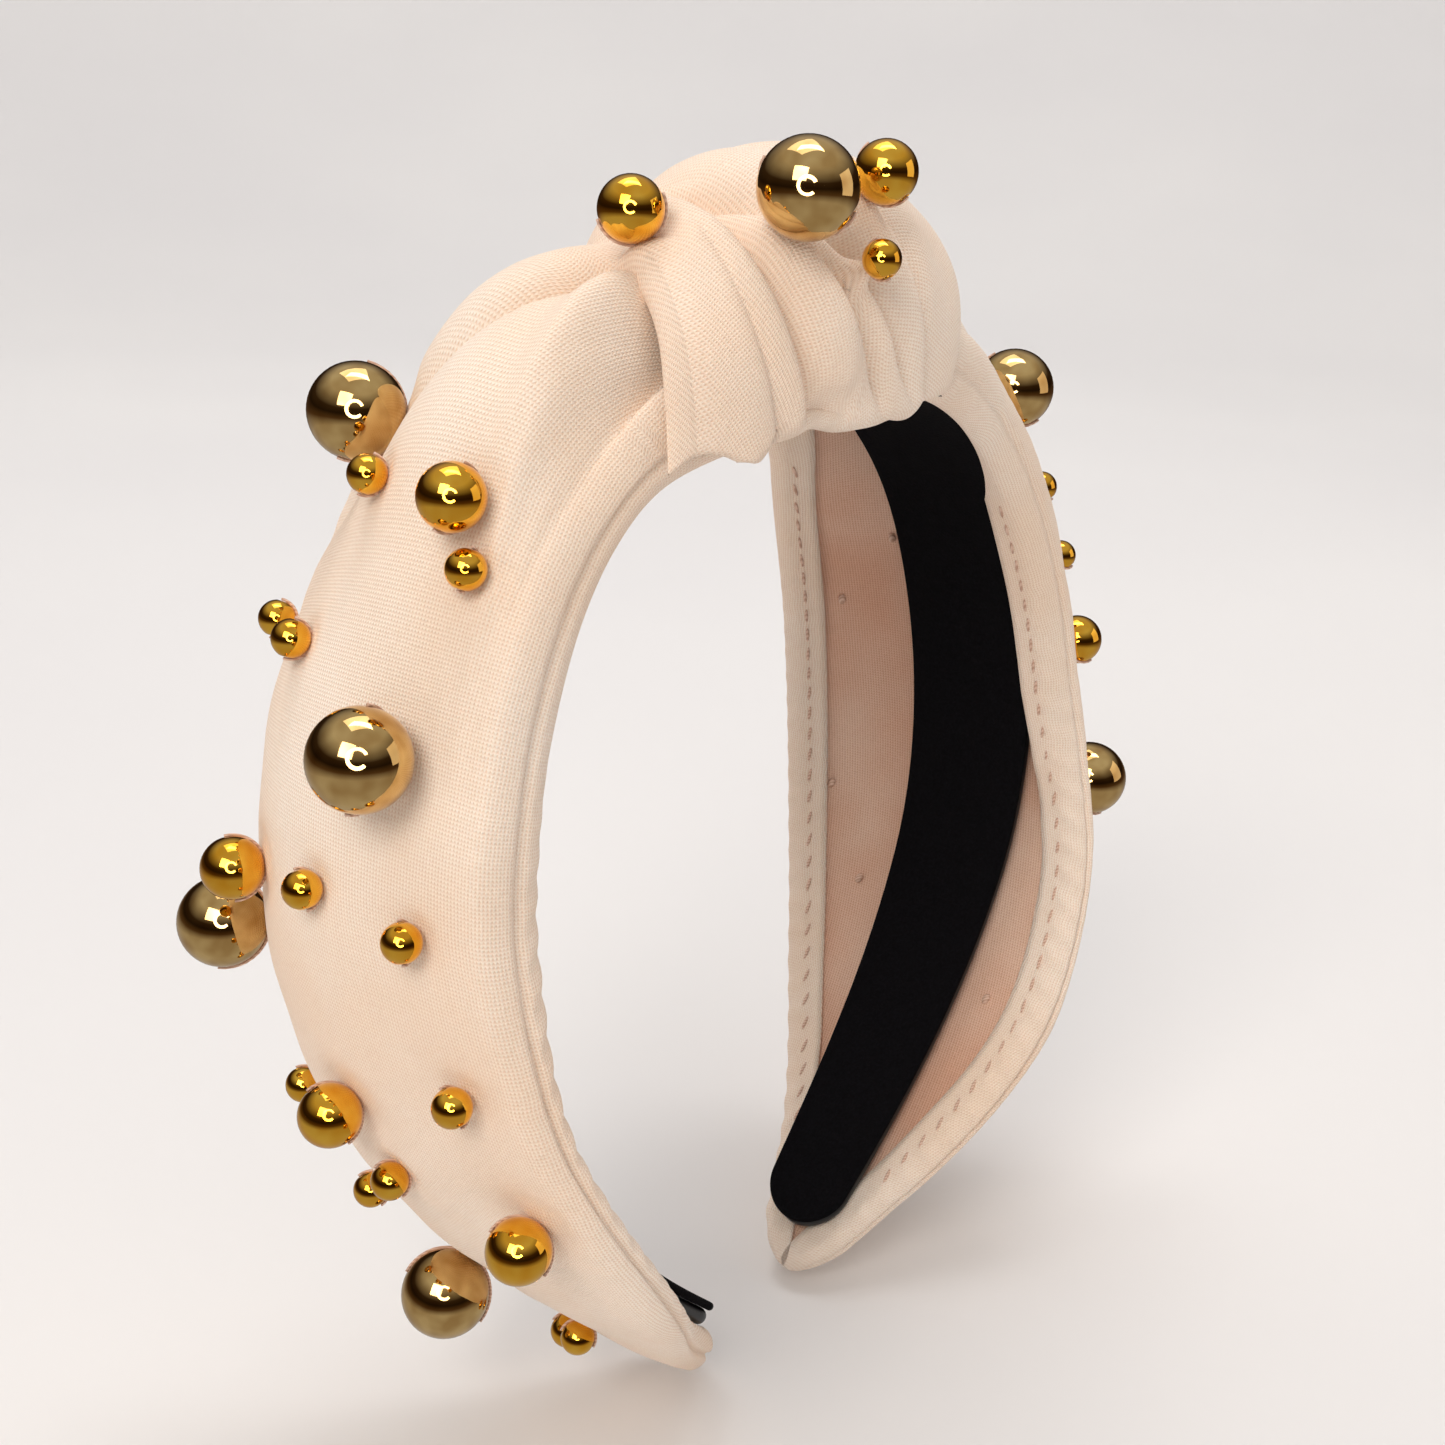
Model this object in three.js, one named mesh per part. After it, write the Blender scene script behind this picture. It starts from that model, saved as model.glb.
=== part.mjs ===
// Knotted headband: a bent plastic strip lined with black ribbon, two padded knit wings,
// a knot over the crown, and round plated beads sewn to the fabric.
// Millimetres, +Z up. X runs from ear to ear, -Y is the front, and the origin is the middle
// of the lining's underside at the crown, where the band rests on the head.

import * as THREE from 'three';
import { mergeVertices } from 'three/addons/utils/BufferGeometryUtils.js';

// ---- the arch: the line that the strip's inner face follows, from the crown to one tip ----
const HALF_LENGTH = 171;
const BEND_AT_CROWN = THREE.MathUtils.degToRad(180);
const BEND_LOST_AT_TIP = THREE.MathUtils.degToRad(42);
const ARCH_STEPS = 400;

// ---- the strip: layer thicknesses outward from the head, and widths front to back ----
const LINING_THICKNESS = 0.9;
const CORE_THICKNESS = 2;
const LAYER_GAP = 0.4;
const STRIP_WIDTH_CROWN = 21.5;
const STRIP_WIDTH_TIP = 12;
const CORE_INSET = 1;
const STRIP_TAPER_POWER = 2.6;
const TIP_ROUNDING = 6;
const TIP_FLAT = 0.4;
const FLEX_AT = 24;
const FLEX_GAP = 0.5;

// ---- the wings: how far each edge lies from the strip's middle, against distance from the crown ----
const WING_START = 27.5;
const WING_END = 177;
const WING_EDGES = {
  left: {
    front: [[27, -11], [50, -11], [80, -12.5], [110, -18.5], [130, -19.5], [155, -12.5], [177, -4]],
    back: [[27, 27], [50, 37], [80, 39], [110, 34], [130, 28], [155, 16], [177, 5]],
  },
  right: {
    front: [[27, -11], [50, -11], [80, -13], [110, -20], [130, -21], [155, -14], [177, -4.5]],
    back: [[27, 24], [50, 30], [80, 32], [110, 28], [130, 22], [155, 12], [177, 4.5]],
  },
};
const WING_ROOT_RISE = 12;
const WING_ROOT_RIDGE = 10;
const WING_ROOT_RIDGE_HALF_WIDTH = 21;
const WING_ROOT_LENGTH = 36;
const WING_FLAT_HALF_WIDTH = 11;
const WING_CUP_RADIUS = 30;
const WING_CLEARANCE = 0.6;
const BACKING_THICKNESS = 0.8;
const WING_LAYER_GAP = 0.6;
const FOAM_THICKNESS = 2;
const COVER_THICKNESS = 0.9;
const WING_HEM = 1;
const WING_STEPS = 26;
const WING_COLUMNS = 9;
const EDGE_POINTS = 120;
const EDGE_END_MARGIN = 1e-6;

// ---- the knot ----
const KNOT_HALF_LENGTH = 23.5;
const KNOT_HALF_WIDTH = 20.5;
const KNOT_HEIGHT = 27.5;
const KNOT_BACK_SHIFT = 5;
const KNOT_END_SCALE = 0.62;
const KNOT_END_POWER = 2.6;
const KNOT_WRAP_THICKNESS = 4.5;
const KNOT_CORE_HALF_LENGTH = 13;
const GATHER_START = 13.6;
const GATHER_HEIGHT = 7;
const KNOT_STEPS = 13;
const KNOT_SIDES = 16;

// ---- the beads: diameters, and the bore that the thread goes through ----
const BEAD = {
  large: { radius: 6, bore: 0.9, sides: 12, rings: 8 },
  medium: { radius: 4, bore: 0.8, sides: 10, rings: 7 },
  small: { radius: 2.5, bore: 0.6, sides: 8, rings: 6 },
};
const BEAD_CLEARANCE = 0.4;
const NORMAL_STEP = 1;

// Each bead is [size, distance along the arch from the crown, distance towards the back, thread angle].
const LEFT_BEADS = [
  ['large', 38, 24, 20], ['small', 45, 18, 60], ['medium', 46, 6, 0], ['small', 51, 3, 40],
  ['small', 59, 35, 30], ['small', 61, 24, 80], ['large', 69, 7, 10], ['medium', 86, 27, 50],
  ['small', 83, 15, 0], ['large', 98, 35, 30], ['small', 84, 1, 20], ['small', 119, 29, 60],
  ['medium', 107, 14, 10], ['small', 99, -5, 70], ['small', 131, 22, 40], ['small', 116, 11, 0],
  ['large', 143, 15, 30], ['medium', 114, -11, 80], ['small', 160, 9, 20], ['small', 155, 4, 50],
];
const RIGHT_BEADS = [
  ['large', 45, 1, 60], ['small', 56, -6, 20], ['small', 66, -8, 80], ['medium', 78, -10, 0],
  ['large', 96, -13, 40], ['medium', 64, 16, 30], ['small', 75, 24, 10], ['small', 105, 23, 50],
  ['medium', 118, 15, 20], ['small', 129, -12, 0], ['large', 84, 5, 70], ['small', 52, 8, 30],
  ['small', 110, 3, 60], ['medium', 99, 4, 10], ['small', 134, 3, 40], ['large', 146, 3, 20],
  ['small', 158, -2, 0],
];
// Beads on the knot are [size, distance along the arch, angle towards the back, thread angle].
const KNOT_BEADS = [
  ['medium', -20, -3, 10], ['large', -12, -39, 50], ['medium', -1, -40, 0], ['small', -6, -61, 70],
];

const colours = {
  ribbon: new THREE.MeshStandardMaterial({ color: 0x0b0a0d, roughness: 0.85, metalness: 0 }),
  plastic: new THREE.MeshStandardMaterial({ color: 0x1a1a1c, roughness: 0.45, metalness: 0 }),
  knit: new THREE.MeshStandardMaterial({ color: 0xe9cdb9, roughness: 0.9, metalness: 0 }),
  backing: new THREE.MeshStandardMaterial({ color: 0xdcb79d, roughness: 0.9, metalness: 0 }),
  foam: new THREE.MeshStandardMaterial({ color: 0xf2e9dc, roughness: 1, metalness: 0 }),
  gold: new THREE.MeshStandardMaterial({ color: 0xe8b23a, roughness: 0.08, metalness: 1 }),
  champagne: new THREE.MeshStandardMaterial({ color: 0xb08a4a, roughness: 0.06, metalness: 1 }),
};

// The direction turns by 180 degrees times t less 42 degrees times t to the fifth, so the strip is a
// near-circle over the head and straightens towards its tips.
function bendAngle(distance) {
  const t = distance / HALF_LENGTH;
  return BEND_AT_CROWN * t - BEND_LOST_AT_TIP * t ** 5;
}

// Where the arch is, and which way is outward there, at a distance along it from the crown.
// Negative distances are on the left arm, at negative X.
function archAt(distance) {
  const reach = Math.abs(distance);
  const side = Math.sign(distance) || 1;
  const steps = Math.max(1, Math.round((ARCH_STEPS * reach) / HALF_LENGTH));
  const step = reach / steps;
  let x = 0;
  let z = 0;
  for (let i = 0; i < steps; i += 1) {
    const angle = bendAngle((i + 0.5) * step);
    x += Math.cos(angle) * step;
    z -= Math.sin(angle) * step;
  }
  const angle = bendAngle(reach);
  return {
    point: new THREE.Vector3(side * x, 0, z),
    outward: new THREE.Vector3(side * Math.sin(angle), 0, Math.cos(angle)),
    along: new THREE.Vector3(side * Math.cos(angle), 0, -Math.sin(angle)),
  };
}

// A point by distance along the arch, distance back from the strip's middle, and height off the
// lining's inner face.
function onArch(distance, back, height) {
  const { point, outward } = archAt(distance);
  return point.clone().addScaledVector(outward, height).setY(back);
}

function namedMesh(name, geometry, material) {
  const mesh = new THREE.Mesh(geometry, material.clone());
  mesh.name = name;
  return mesh;
}

function solidOnly(geometry) {
  geometry.deleteAttribute('normal');
  geometry.deleteAttribute('uv');
  return mergeVertices(geometry, 1e-4);
}

// Extrudes a section from one distance to another, then moves each point to its place on the arch.
// place gets the distance and the section's two coordinates, and returns a point.
function sweptOnArch(section, from, to, steps, place) {
  const straight = new THREE.ExtrudeGeometry(section, {
    depth: to - from,
    steps,
    bevelEnabled: false,
    curveSegments: 1,
  });
  const swept = solidOnly(straight);
  const positions = swept.getAttribute('position');
  const corner = new THREE.Vector3();
  for (let i = 0; i < positions.count; i += 1) {
    corner.fromBufferAttribute(positions, i);
    const moved = place(from + corner.z, corner.x, corner.y);
    positions.setXYZ(i, moved.x, moved.y, moved.z);
  }
  return swept;
}

// A flat bar section, one unit to each side and one unit thick, cut into columns across its width.
function barSection(columns) {
  const corners = [];
  for (let i = 0; i <= columns; i += 1) {
    corners.push(new THREE.Vector2(-1 + (2 * i) / columns, 0));
  }
  for (let i = columns; i >= 0; i -= 1) {
    corners.push(new THREE.Vector2(-1 + (2 * i) / columns, 1));
  }
  return new THREE.Shape(corners);
}

// The strip tapers evenly from the crown to the tip and ends in a round nose.
function stripHalfWidth(distance, inset) {
  const reach = Math.abs(distance);
  const share = (reach / HALF_LENGTH) ** STRIP_TAPER_POWER;
  const taper = THREE.MathUtils.lerp(STRIP_WIDTH_CROWN, STRIP_WIDTH_TIP, share) / 2 - inset;
  const intoNose = Math.max(0, reach - (HALF_LENGTH - TIP_ROUNDING)) / (TIP_ROUNDING + TIP_FLAT);
  return taper * Math.sqrt(1 - intoNose ** 2);
}

function stripLayer(from, to, steps, base, thickness, inset) {
  return sweptOnArch(barSection(1), from, to, steps, (distance, across, level) =>
    onArch(distance, across * stripHalfWidth(distance, inset), base + level * thickness));
}

// How the strip is cut: a short crown stretch and an arm on each side of it.
const STRETCHES = [
  { name: 'crown', from: -FLEX_AT, to: FLEX_AT, steps: 7 },
  { name: 'left', from: -HALF_LENGTH, to: -FLEX_AT - FLEX_GAP, steps: 22 },
  { name: 'right', from: FLEX_AT + FLEX_GAP, to: HALF_LENGTH, steps: 22 },
];

function makeStrip() {
  const coreBase = LINING_THICKNESS + LAYER_GAP;
  return STRETCHES.flatMap(({ name, from, to, steps }) => [
    namedMesh(`ribbon_lining_${name}`, stripLayer(from, to, steps, 0, LINING_THICKNESS, 0), colours.ribbon),
    namedMesh(`plastic_core_${name}`, stripLayer(from, to, steps, coreBase, CORE_THICKNESS, CORE_INSET),
      colours.plastic),
  ]);
}

// A smooth curve through the stated points of an edge, read by distance from the crown.
function edgeCurve(stations) {
  const curve = new THREE.SplineCurve(stations.map(([at, back]) => new THREE.Vector2(at, back)));
  const points = curve.getPoints(EDGE_POINTS);
  return (distance) => {
    const reach = THREE.MathUtils.clamp(Math.abs(distance), points[0].x, points.at(-1).x - EDGE_END_MARGIN);
    const next = points.findIndex((point) => point.x > reach);
    const before = points[next - 1];
    const after = points[next];
    return THREE.MathUtils.mapLinear(reach, before.x, after.x, before.y, after.y);
  };
}

const edges = {
  left: { front: edgeCurve(WING_EDGES.left.front), back: edgeCurve(WING_EDGES.left.back) },
  right: { front: edgeCurve(WING_EDGES.right.front), back: edgeCurve(WING_EDGES.right.back) },
};

// One at the knot, falling smoothly to nothing at the end of the wing's gathered root.
function rootShare(distance) {
  return 1 - THREE.MathUtils.smoothstep(Math.abs(distance), WING_START, WING_START + WING_ROOT_LENGTH);
}

// A wing lies flat across the strip and curls round towards the head beyond each of the strip's edges.
// Its gathered root swells up into a ridge as it nears the knot.
function onWing(distance, back, height) {
  const turn = Math.max(0, Math.abs(back) - WING_FLAT_HALF_WIDTH) / WING_CUP_RADIUS;
  const drop = WING_CUP_RADIUS * (1 - Math.cos(turn));
  const flat = Math.min(Math.abs(back), WING_FLAT_HALF_WIDTH);
  const reach = flat + (WING_CUP_RADIUS + height) * Math.sin(turn);
  const offRidge = Math.min(1, Math.abs(back - WING_ROOT_RIDGE) / WING_ROOT_RIDGE_HALF_WIDTH);
  const rise = WING_ROOT_RISE * rootShare(distance) * Math.cos((Math.PI * offRidge) / 2) ** 2;
  return onArch(distance, Math.sign(back) * reach, rise + height * Math.cos(turn) - drop);
}

// The outward direction of a wing's face, from the slopes along the arch and towards the back.
function wingNormal(distance, back) {
  const at = (ahead, behind) => onWing(distance + ahead, back + behind, WING_TOP);
  const alongArch = at(NORMAL_STEP, 0).sub(at(-NORMAL_STEP, 0));
  const towardsBack = at(0, NORMAL_STEP).sub(at(0, -NORMAL_STEP));
  return alongArch.cross(towardsBack).normalize();
}

const WING_BASE = LINING_THICKNESS + LAYER_GAP + CORE_THICKNESS + WING_CLEARANCE;
const WING_TOP = WING_BASE + BACKING_THICKNESS + FOAM_THICKNESS + COVER_THICKNESS + 2 * WING_LAYER_GAP;

function wingLayer(name, side, base, thickness, inset) {
  const from = side < 0 ? -WING_END + inset : WING_START + inset;
  const to = side < 0 ? -WING_START - inset : WING_END - inset;
  const place = (distance, across, level) => {
    const front = edges[name].front(distance) + inset;
    const back = edges[name].back(distance) - inset;
    return onWing(distance, THREE.MathUtils.mapLinear(across, -1, 1, front, back), base + level * thickness);
  };
  return sweptOnArch(barSection(WING_COLUMNS), from, to, WING_STEPS, place);
}

function makeWing(name, side) {
  const layer = (base, thickness, inset) => wingLayer(name, side, base, thickness, inset);
  const foamBase = WING_BASE + BACKING_THICKNESS + WING_LAYER_GAP;
  const coverBase = foamBase + FOAM_THICKNESS + WING_LAYER_GAP;
  return [
    namedMesh(`wing_backing_${name}`, layer(WING_BASE, BACKING_THICKNESS, 0), colours.backing),
    namedMesh(`wing_foam_${name}`, layer(foamBase, FOAM_THICKNESS, WING_HEM), colours.foam),
    namedMesh(`wing_cover_${name}`, layer(coverBase, COVER_THICKNESS, 0), colours.knit),
  ];
}

// The knot's roundness along the arch: full at the middle and drawn in at each end.
function knotScale(distance) {
  const t = Math.min(1, Math.abs(distance) / KNOT_HALF_LENGTH);
  return THREE.MathUtils.lerp(1, KNOT_END_SCALE, t ** KNOT_END_POWER);
}

// An arch-shaped section, open below: half an ellipse outside, and another inside it.
function sleeveSection(outerHalf, outerHeight, innerHalf, innerHeight) {
  const corners = [];
  for (let i = 0; i <= KNOT_SIDES; i += 1) {
    const turn = (Math.PI * i) / KNOT_SIDES;
    corners.push(new THREE.Vector2(outerHalf * Math.cos(turn), outerHeight * Math.sin(turn)));
  }
  for (let i = KNOT_SIDES; i >= 0; i -= 1) {
    const turn = (Math.PI * i) / KNOT_SIDES;
    corners.push(new THREE.Vector2(innerHalf * Math.cos(turn), innerHeight * Math.sin(turn)));
  }
  return new THREE.Shape(corners);
}

function domeSection(half, height) {
  const corners = [];
  for (let i = 0; i <= KNOT_SIDES; i += 1) {
    const turn = (Math.PI * i) / KNOT_SIDES;
    corners.push(new THREE.Vector2(half * Math.cos(turn), height * Math.sin(turn)));
  }
  return new THREE.Shape(corners);
}

function knotSweep(section, from, to, base) {
  return sweptOnArch(section, from, to, KNOT_STEPS, (distance, across, up) => {
    const scale = knotScale(distance);
    return onArch(distance, KNOT_BACK_SHIFT + across * scale, base + up * scale);
  });
}

function makeKnot() {
  const innerHalf = KNOT_HALF_WIDTH - KNOT_WRAP_THICKNESS;
  const innerHeight = KNOT_HEIGHT - WING_BASE - KNOT_WRAP_THICKNESS;
  const outerHeight = KNOT_HEIGHT - WING_BASE;
  const wrap = sleeveSection(KNOT_HALF_WIDTH, outerHeight, innerHalf, innerHeight);
  const core = domeSection(innerHalf - LAYER_GAP, innerHeight - 2 * LAYER_GAP);
  const gather = domeSection(innerHalf - 2 * LAYER_GAP, GATHER_HEIGHT / KNOT_END_SCALE);
  const stretches = [
    ['knot_wrap', wrap, -KNOT_HALF_LENGTH, KNOT_HALF_LENGTH],
    ['knot_core', core, -KNOT_CORE_HALF_LENGTH, KNOT_CORE_HALF_LENGTH],
    ['knot_gather_left', gather, -FLEX_AT, -GATHER_START],
    ['knot_gather_right', gather, GATHER_START, FLEX_AT],
  ];
  return stretches.map(([name, section, from, to]) =>
    namedMesh(name, knotSweep(section, from, to, WING_BASE), colours.knit));
}

// A bead is a ball turned with its bore along Y: the profile runs down the ball and back up the bore.
function beadGeometry({ radius, bore, sides, rings }) {
  const start = Math.asin(bore / radius);
  const profile = [];
  for (let i = 0; i <= rings; i += 1) {
    const turn = start + ((Math.PI - 2 * start) * i) / rings;
    profile.push(new THREE.Vector2(radius * Math.sin(turn), -radius * Math.cos(turn)));
  }
  profile.push(profile[0].clone());
  return solidOnly(new THREE.LatheGeometry(profile, sides));
}

// Sets a bead against a surface point, its bore lying in the surface at the thread angle.
function placedBead(name, size, surface, outward, along, threadAngle) {
  const bead = BEAD[size];
  const metal = size === 'large' ? colours.champagne : colours.gold;
  const mesh = namedMesh(name, beadGeometry(bead), metal);
  const thread = along.clone().applyAxisAngle(outward, THREE.MathUtils.degToRad(threadAngle));
  mesh.quaternion.setFromUnitVectors(new THREE.Vector3(0, 1, 0), thread);
  mesh.position.copy(surface).addScaledVector(outward, bead.radius + BEAD_CLEARANCE);
  return mesh;
}

function makeWingBeads(name, side, beads) {
  return beads.map(([size, distance, back, threadAngle], index) => {
    const surface = onWing(side * distance, back, WING_TOP);
    const outward = wingNormal(side * distance, back);
    const { along } = archAt(side * distance);
    const label = String(index + 1).padStart(2, '0');
    return placedBead(`bead_${name}_${label}_${size}`, size, surface, outward, along, threadAngle);
  });
}

function makeKnotBeads() {
  return KNOT_BEADS.map(([size, distance, leanDegrees, threadAngle], index) => {
    const lean = THREE.MathUtils.degToRad(leanDegrees);
    const scale = knotScale(distance);
    const half = KNOT_HALF_WIDTH * scale;
    const height = (KNOT_HEIGHT - WING_BASE) * scale;
    const back = KNOT_BACK_SHIFT + half * Math.sin(lean);
    const surface = onArch(distance, back, WING_BASE + height * Math.cos(lean));
    const { outward, along } = archAt(distance);
    const normal = outward.clone().multiplyScalar(Math.cos(lean) / height);
    normal.y = Math.sin(lean) / half;
    normal.normalize();
    return placedBead(`bead_knot_${index + 1}_${size}`, size, surface, normal, along, threadAngle);
  });
}

const headband = new THREE.Group();
headband.add(
  ...makeStrip(),
  ...makeWing('left', -1),
  ...makeWing('right', 1),
  ...makeKnot(),
  ...makeKnotBeads(),
  ...makeWingBeads('left', -1, LEFT_BEADS),
  ...makeWingBeads('right', 1, RIGHT_BEADS),
);

export default headband;
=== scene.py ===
"""A knotted headband: knit wings over a lined plastic strip, a turban knot and plated beads sewn on.

All sizes are in metres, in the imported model's frame: X runs from ear to ear, -Y is the front, +Z is up,
and the origin is where the lining rests on the head. Every surface is a formula on a grid of two
parameters: on the strip, the wings and the knot, the distance along the arch from the crown and a place
across it, and on a bead or a thread, the distance along its axis and the angle round it.
"""

import logging
import math
from dataclasses import dataclass
from enum import Enum
from functools import cached_property

import bpy
import numpy as np
from mathutils import Matrix, Vector


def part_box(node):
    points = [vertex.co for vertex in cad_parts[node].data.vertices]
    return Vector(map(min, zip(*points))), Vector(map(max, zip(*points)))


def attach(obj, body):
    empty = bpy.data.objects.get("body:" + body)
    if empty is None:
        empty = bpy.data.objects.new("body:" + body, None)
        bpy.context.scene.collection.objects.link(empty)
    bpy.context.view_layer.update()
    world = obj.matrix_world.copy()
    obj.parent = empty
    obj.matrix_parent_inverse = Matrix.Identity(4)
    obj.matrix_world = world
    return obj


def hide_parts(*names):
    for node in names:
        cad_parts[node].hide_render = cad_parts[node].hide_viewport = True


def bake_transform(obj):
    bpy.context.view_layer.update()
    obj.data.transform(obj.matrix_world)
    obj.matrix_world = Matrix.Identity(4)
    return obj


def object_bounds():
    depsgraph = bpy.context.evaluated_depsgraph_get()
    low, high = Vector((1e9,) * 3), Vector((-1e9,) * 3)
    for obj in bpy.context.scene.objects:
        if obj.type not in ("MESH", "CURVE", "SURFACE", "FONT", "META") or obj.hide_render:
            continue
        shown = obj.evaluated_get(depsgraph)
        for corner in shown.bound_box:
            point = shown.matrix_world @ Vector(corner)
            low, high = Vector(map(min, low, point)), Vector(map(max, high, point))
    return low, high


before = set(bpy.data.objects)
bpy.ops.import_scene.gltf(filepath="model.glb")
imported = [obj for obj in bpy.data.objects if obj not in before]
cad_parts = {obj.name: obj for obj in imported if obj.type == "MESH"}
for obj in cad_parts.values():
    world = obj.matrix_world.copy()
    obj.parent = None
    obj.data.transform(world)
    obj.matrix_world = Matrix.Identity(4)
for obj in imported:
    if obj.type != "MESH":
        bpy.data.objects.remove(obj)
CAD_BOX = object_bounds()

MM = 0.001
MAIN_VIEW = np.array([0.77, 0.54, -0.33])
BEAD_RADII = {"large": 5.65 * MM, "medium": 3.7 * MM, "small": 2.25 * MM}
Array = np.ndarray
Stations = tuple[tuple[float, float], ...]
log = logging.getLogger("headband")


class Side(Enum):
    """An arm, as seen from the front: the left one is at negative X."""

    LEFT = -1
    RIGHT = 1

    @property
    def label(self) -> str:
        """The name that the CAD nodes and bodies use."""
        return self.name.lower()

    @property
    def body(self) -> str:
        """The CAD body of this arm."""
        return f"{self.label}_arm"


# ---------------------------------------------------------------- small formulas


def smooth(value: Array, start: float, end: float) -> Array:
    """A smooth step: nothing before start, one after end, by three t squared less two t cubed."""
    t = np.clip((value - start) / (end - start), 0, 1)
    return t * t * (3 - 2 * t)


def through(stations: Stations, at: Array) -> Array:
    """A smooth curve through stations of (distance, value), both in millimetres.

    Each stretch is a cubic whose slopes at its ends are those of the neighbouring stations.

    Args:
        stations: the points that the curve goes through, in order.
        at: distances in metres.

    Returns:
        The values there, in metres.
    """
    x, y = np.array(stations, float).T * MM
    slope = np.gradient(y, x)
    i = np.clip(np.searchsorted(x, at) - 1, 0, len(x) - 2)
    width = x[i + 1] - x[i]
    t = np.clip((at - x[i]) / width, 0, 1)
    start = (1 + 2 * t) * (1 - t) ** 2 * y[i] + t * (1 - t) ** 2 * width * slope[i]
    end = t * t * (3 - 2 * t) * y[i + 1] + t * t * (t - 1) * width * slope[i + 1]
    return start + end


def unit(vectors: Array) -> Array:
    """Vectors divided by their lengths."""
    return vectors / np.maximum(np.linalg.norm(vectors, axis=-1, keepdims=True), 1e-12)


def grid_normals(points: Array) -> Array:
    """The direction square to a grid of points: the cross product of its two slopes."""
    return unit(np.cross(np.gradient(points, axis=0), np.gradient(points, axis=1)))


def full_turn(count: int) -> Array:
    """Evenly spaced angles round a circle, the last one short of the first."""
    return np.linspace(0, math.tau, count, endpoint=False)


def nearest(grid: Array, point: Array) -> tuple[int, int]:
    """The row and column of the grid's point that lies nearest to a point."""
    return np.unravel_index(np.linalg.norm(point - grid, axis=-1).argmin(), grid.shape[:2])


def rounded_end(
    start: float, bend: float, nose: float, counts: tuple[int, int], close: float
) -> tuple[Array, Array]:
    """Rows along a strip of cloth or plastic that ends in a rounded nose.

    In the nose the distance goes on by the nose's length times the sine of an angle, and the width left
    is the angle's cosine.

    Args:
        start: distance of the first row.
        bend: distance at which the nose starts.
        nose: its length.
        counts: rows up to the nose, and steps in it.
        close: how much of a right angle the last row reaches.

    Returns:
        The distances and the share of the width left, each as a column.
    """
    straight = np.linspace(start, bend, counts[0])
    angle = np.linspace(0, math.pi / 2 * close, counts[1])[1:]
    reach = np.concatenate([straight, straight[-1] + nose * np.sin(angle)])
    return reach[:, None], np.concatenate([np.ones(counts[0]), np.cos(angle)])[:, None]


def grid_uv(points: Array, along: Array) -> Array:
    """Cloth coordinates in metres: the length walked across each row, and the distance along.

    Args:
        points: the cloth's grid, rows by columns by 3.
        along: each row's distance along the arch.

    Returns:
        Two coordinates for each grid point; the first is zero on the middle column.
    """
    steps = np.linalg.norm(np.diff(points, axis=1), axis=-1)
    walked = np.concatenate([np.zeros((len(points), 1)), np.cumsum(steps, axis=1)], axis=1)
    walked -= walked[:, points.shape[1] // 2][:, None]
    return np.stack([walked, np.broadcast_to(along, walked.shape)], axis=-1)


# ---------------------------------------------------------------- meshes


def quads(rows: int, columns: int, closed: bool = False) -> Array:
    """The faces of a grid, turned so that row direction crossed with column direction is outward.

    Args:
        rows: points along the grid.
        columns: points across it.
        closed: whether the last column joins the first.

    Returns:
        The corners' numbers, four to a face.
    """
    r = np.arange(rows - 1)[:, None] * columns
    c = np.arange(columns if closed else columns - 1)[None, :]
    after = (c + 1) % columns
    corners = [r + c, r + columns + c, r + columns + after, r + after]
    return np.stack(corners, axis=-1).reshape(-1, 4)


def build(name: str, points: Array, faces: Array, uv: Array | None = None) -> bpy.types.Object:
    """Makes a closed, smooth-shaded piece whose faces point outwards.

    The enclosed volume is the sum of the faces' corner products, and if it comes out negative the faces
    are turned round.

    Args:
        name: the piece's name.
        points: its vertices, n by 3.
        faces: its quads, m by 4.
        uv: cloth coordinates of each vertex, in metres.

    Returns:
        The new object, at the origin.
    """
    a, b, c, d = (points[faces[:, i]] for i in range(4))
    volume = (a * np.cross(b, c)).sum() + (a * np.cross(c, d)).sum()
    if volume < 0:
        faces = faces[:, ::-1]
    mesh = bpy.data.meshes.new(name)
    mesh.from_pydata(points.tolist(), [], faces.tolist())
    if uv is not None:
        owners = np.empty(len(mesh.loops), np.int32)
        mesh.loops.foreach_get("vertex_index", owners)
        layer = mesh.uv_layers.new(name="cloth")
        layer.data.foreach_set("uv", uv[owners].astype(np.float32).ravel())
    mesh.shade_smooth()
    mesh.update()
    made = bpy.data.objects.new(name, mesh)
    bpy.context.scene.collection.objects.link(made)
    return made


def shell(name: str, outer: Array, inner: Array, uv: Array) -> bpy.types.Object:
    """A closed layer between two grids of the same shape, joined round their borders.

    Args:
        name: the piece's name.
        outer: the outer face, rows by columns by 3.
        inner: the inner face.
        uv: cloth coordinates of the grid.

    Returns:
        The new object.
    """
    rows, columns = outer.shape[:2]
    count = rows * columns
    face = quads(rows, columns)
    border = np.concatenate([
        np.arange(columns - 1),
        np.arange(rows - 1) * columns + columns - 1,
        count - 1 - np.arange(columns - 1),
        (rows - 1 - np.arange(rows - 1)) * columns,
    ])
    after = np.roll(border, -1)
    rim = np.stack([border, after, after + count, border + count], axis=-1)
    faces = np.concatenate([face, face[:, ::-1] + count, rim])
    points = np.concatenate([outer.reshape(-1, 3), inner.reshape(-1, 3)])
    return build(name, points, faces, np.tile(uv.reshape(-1, 2), (2, 1)))


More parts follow.
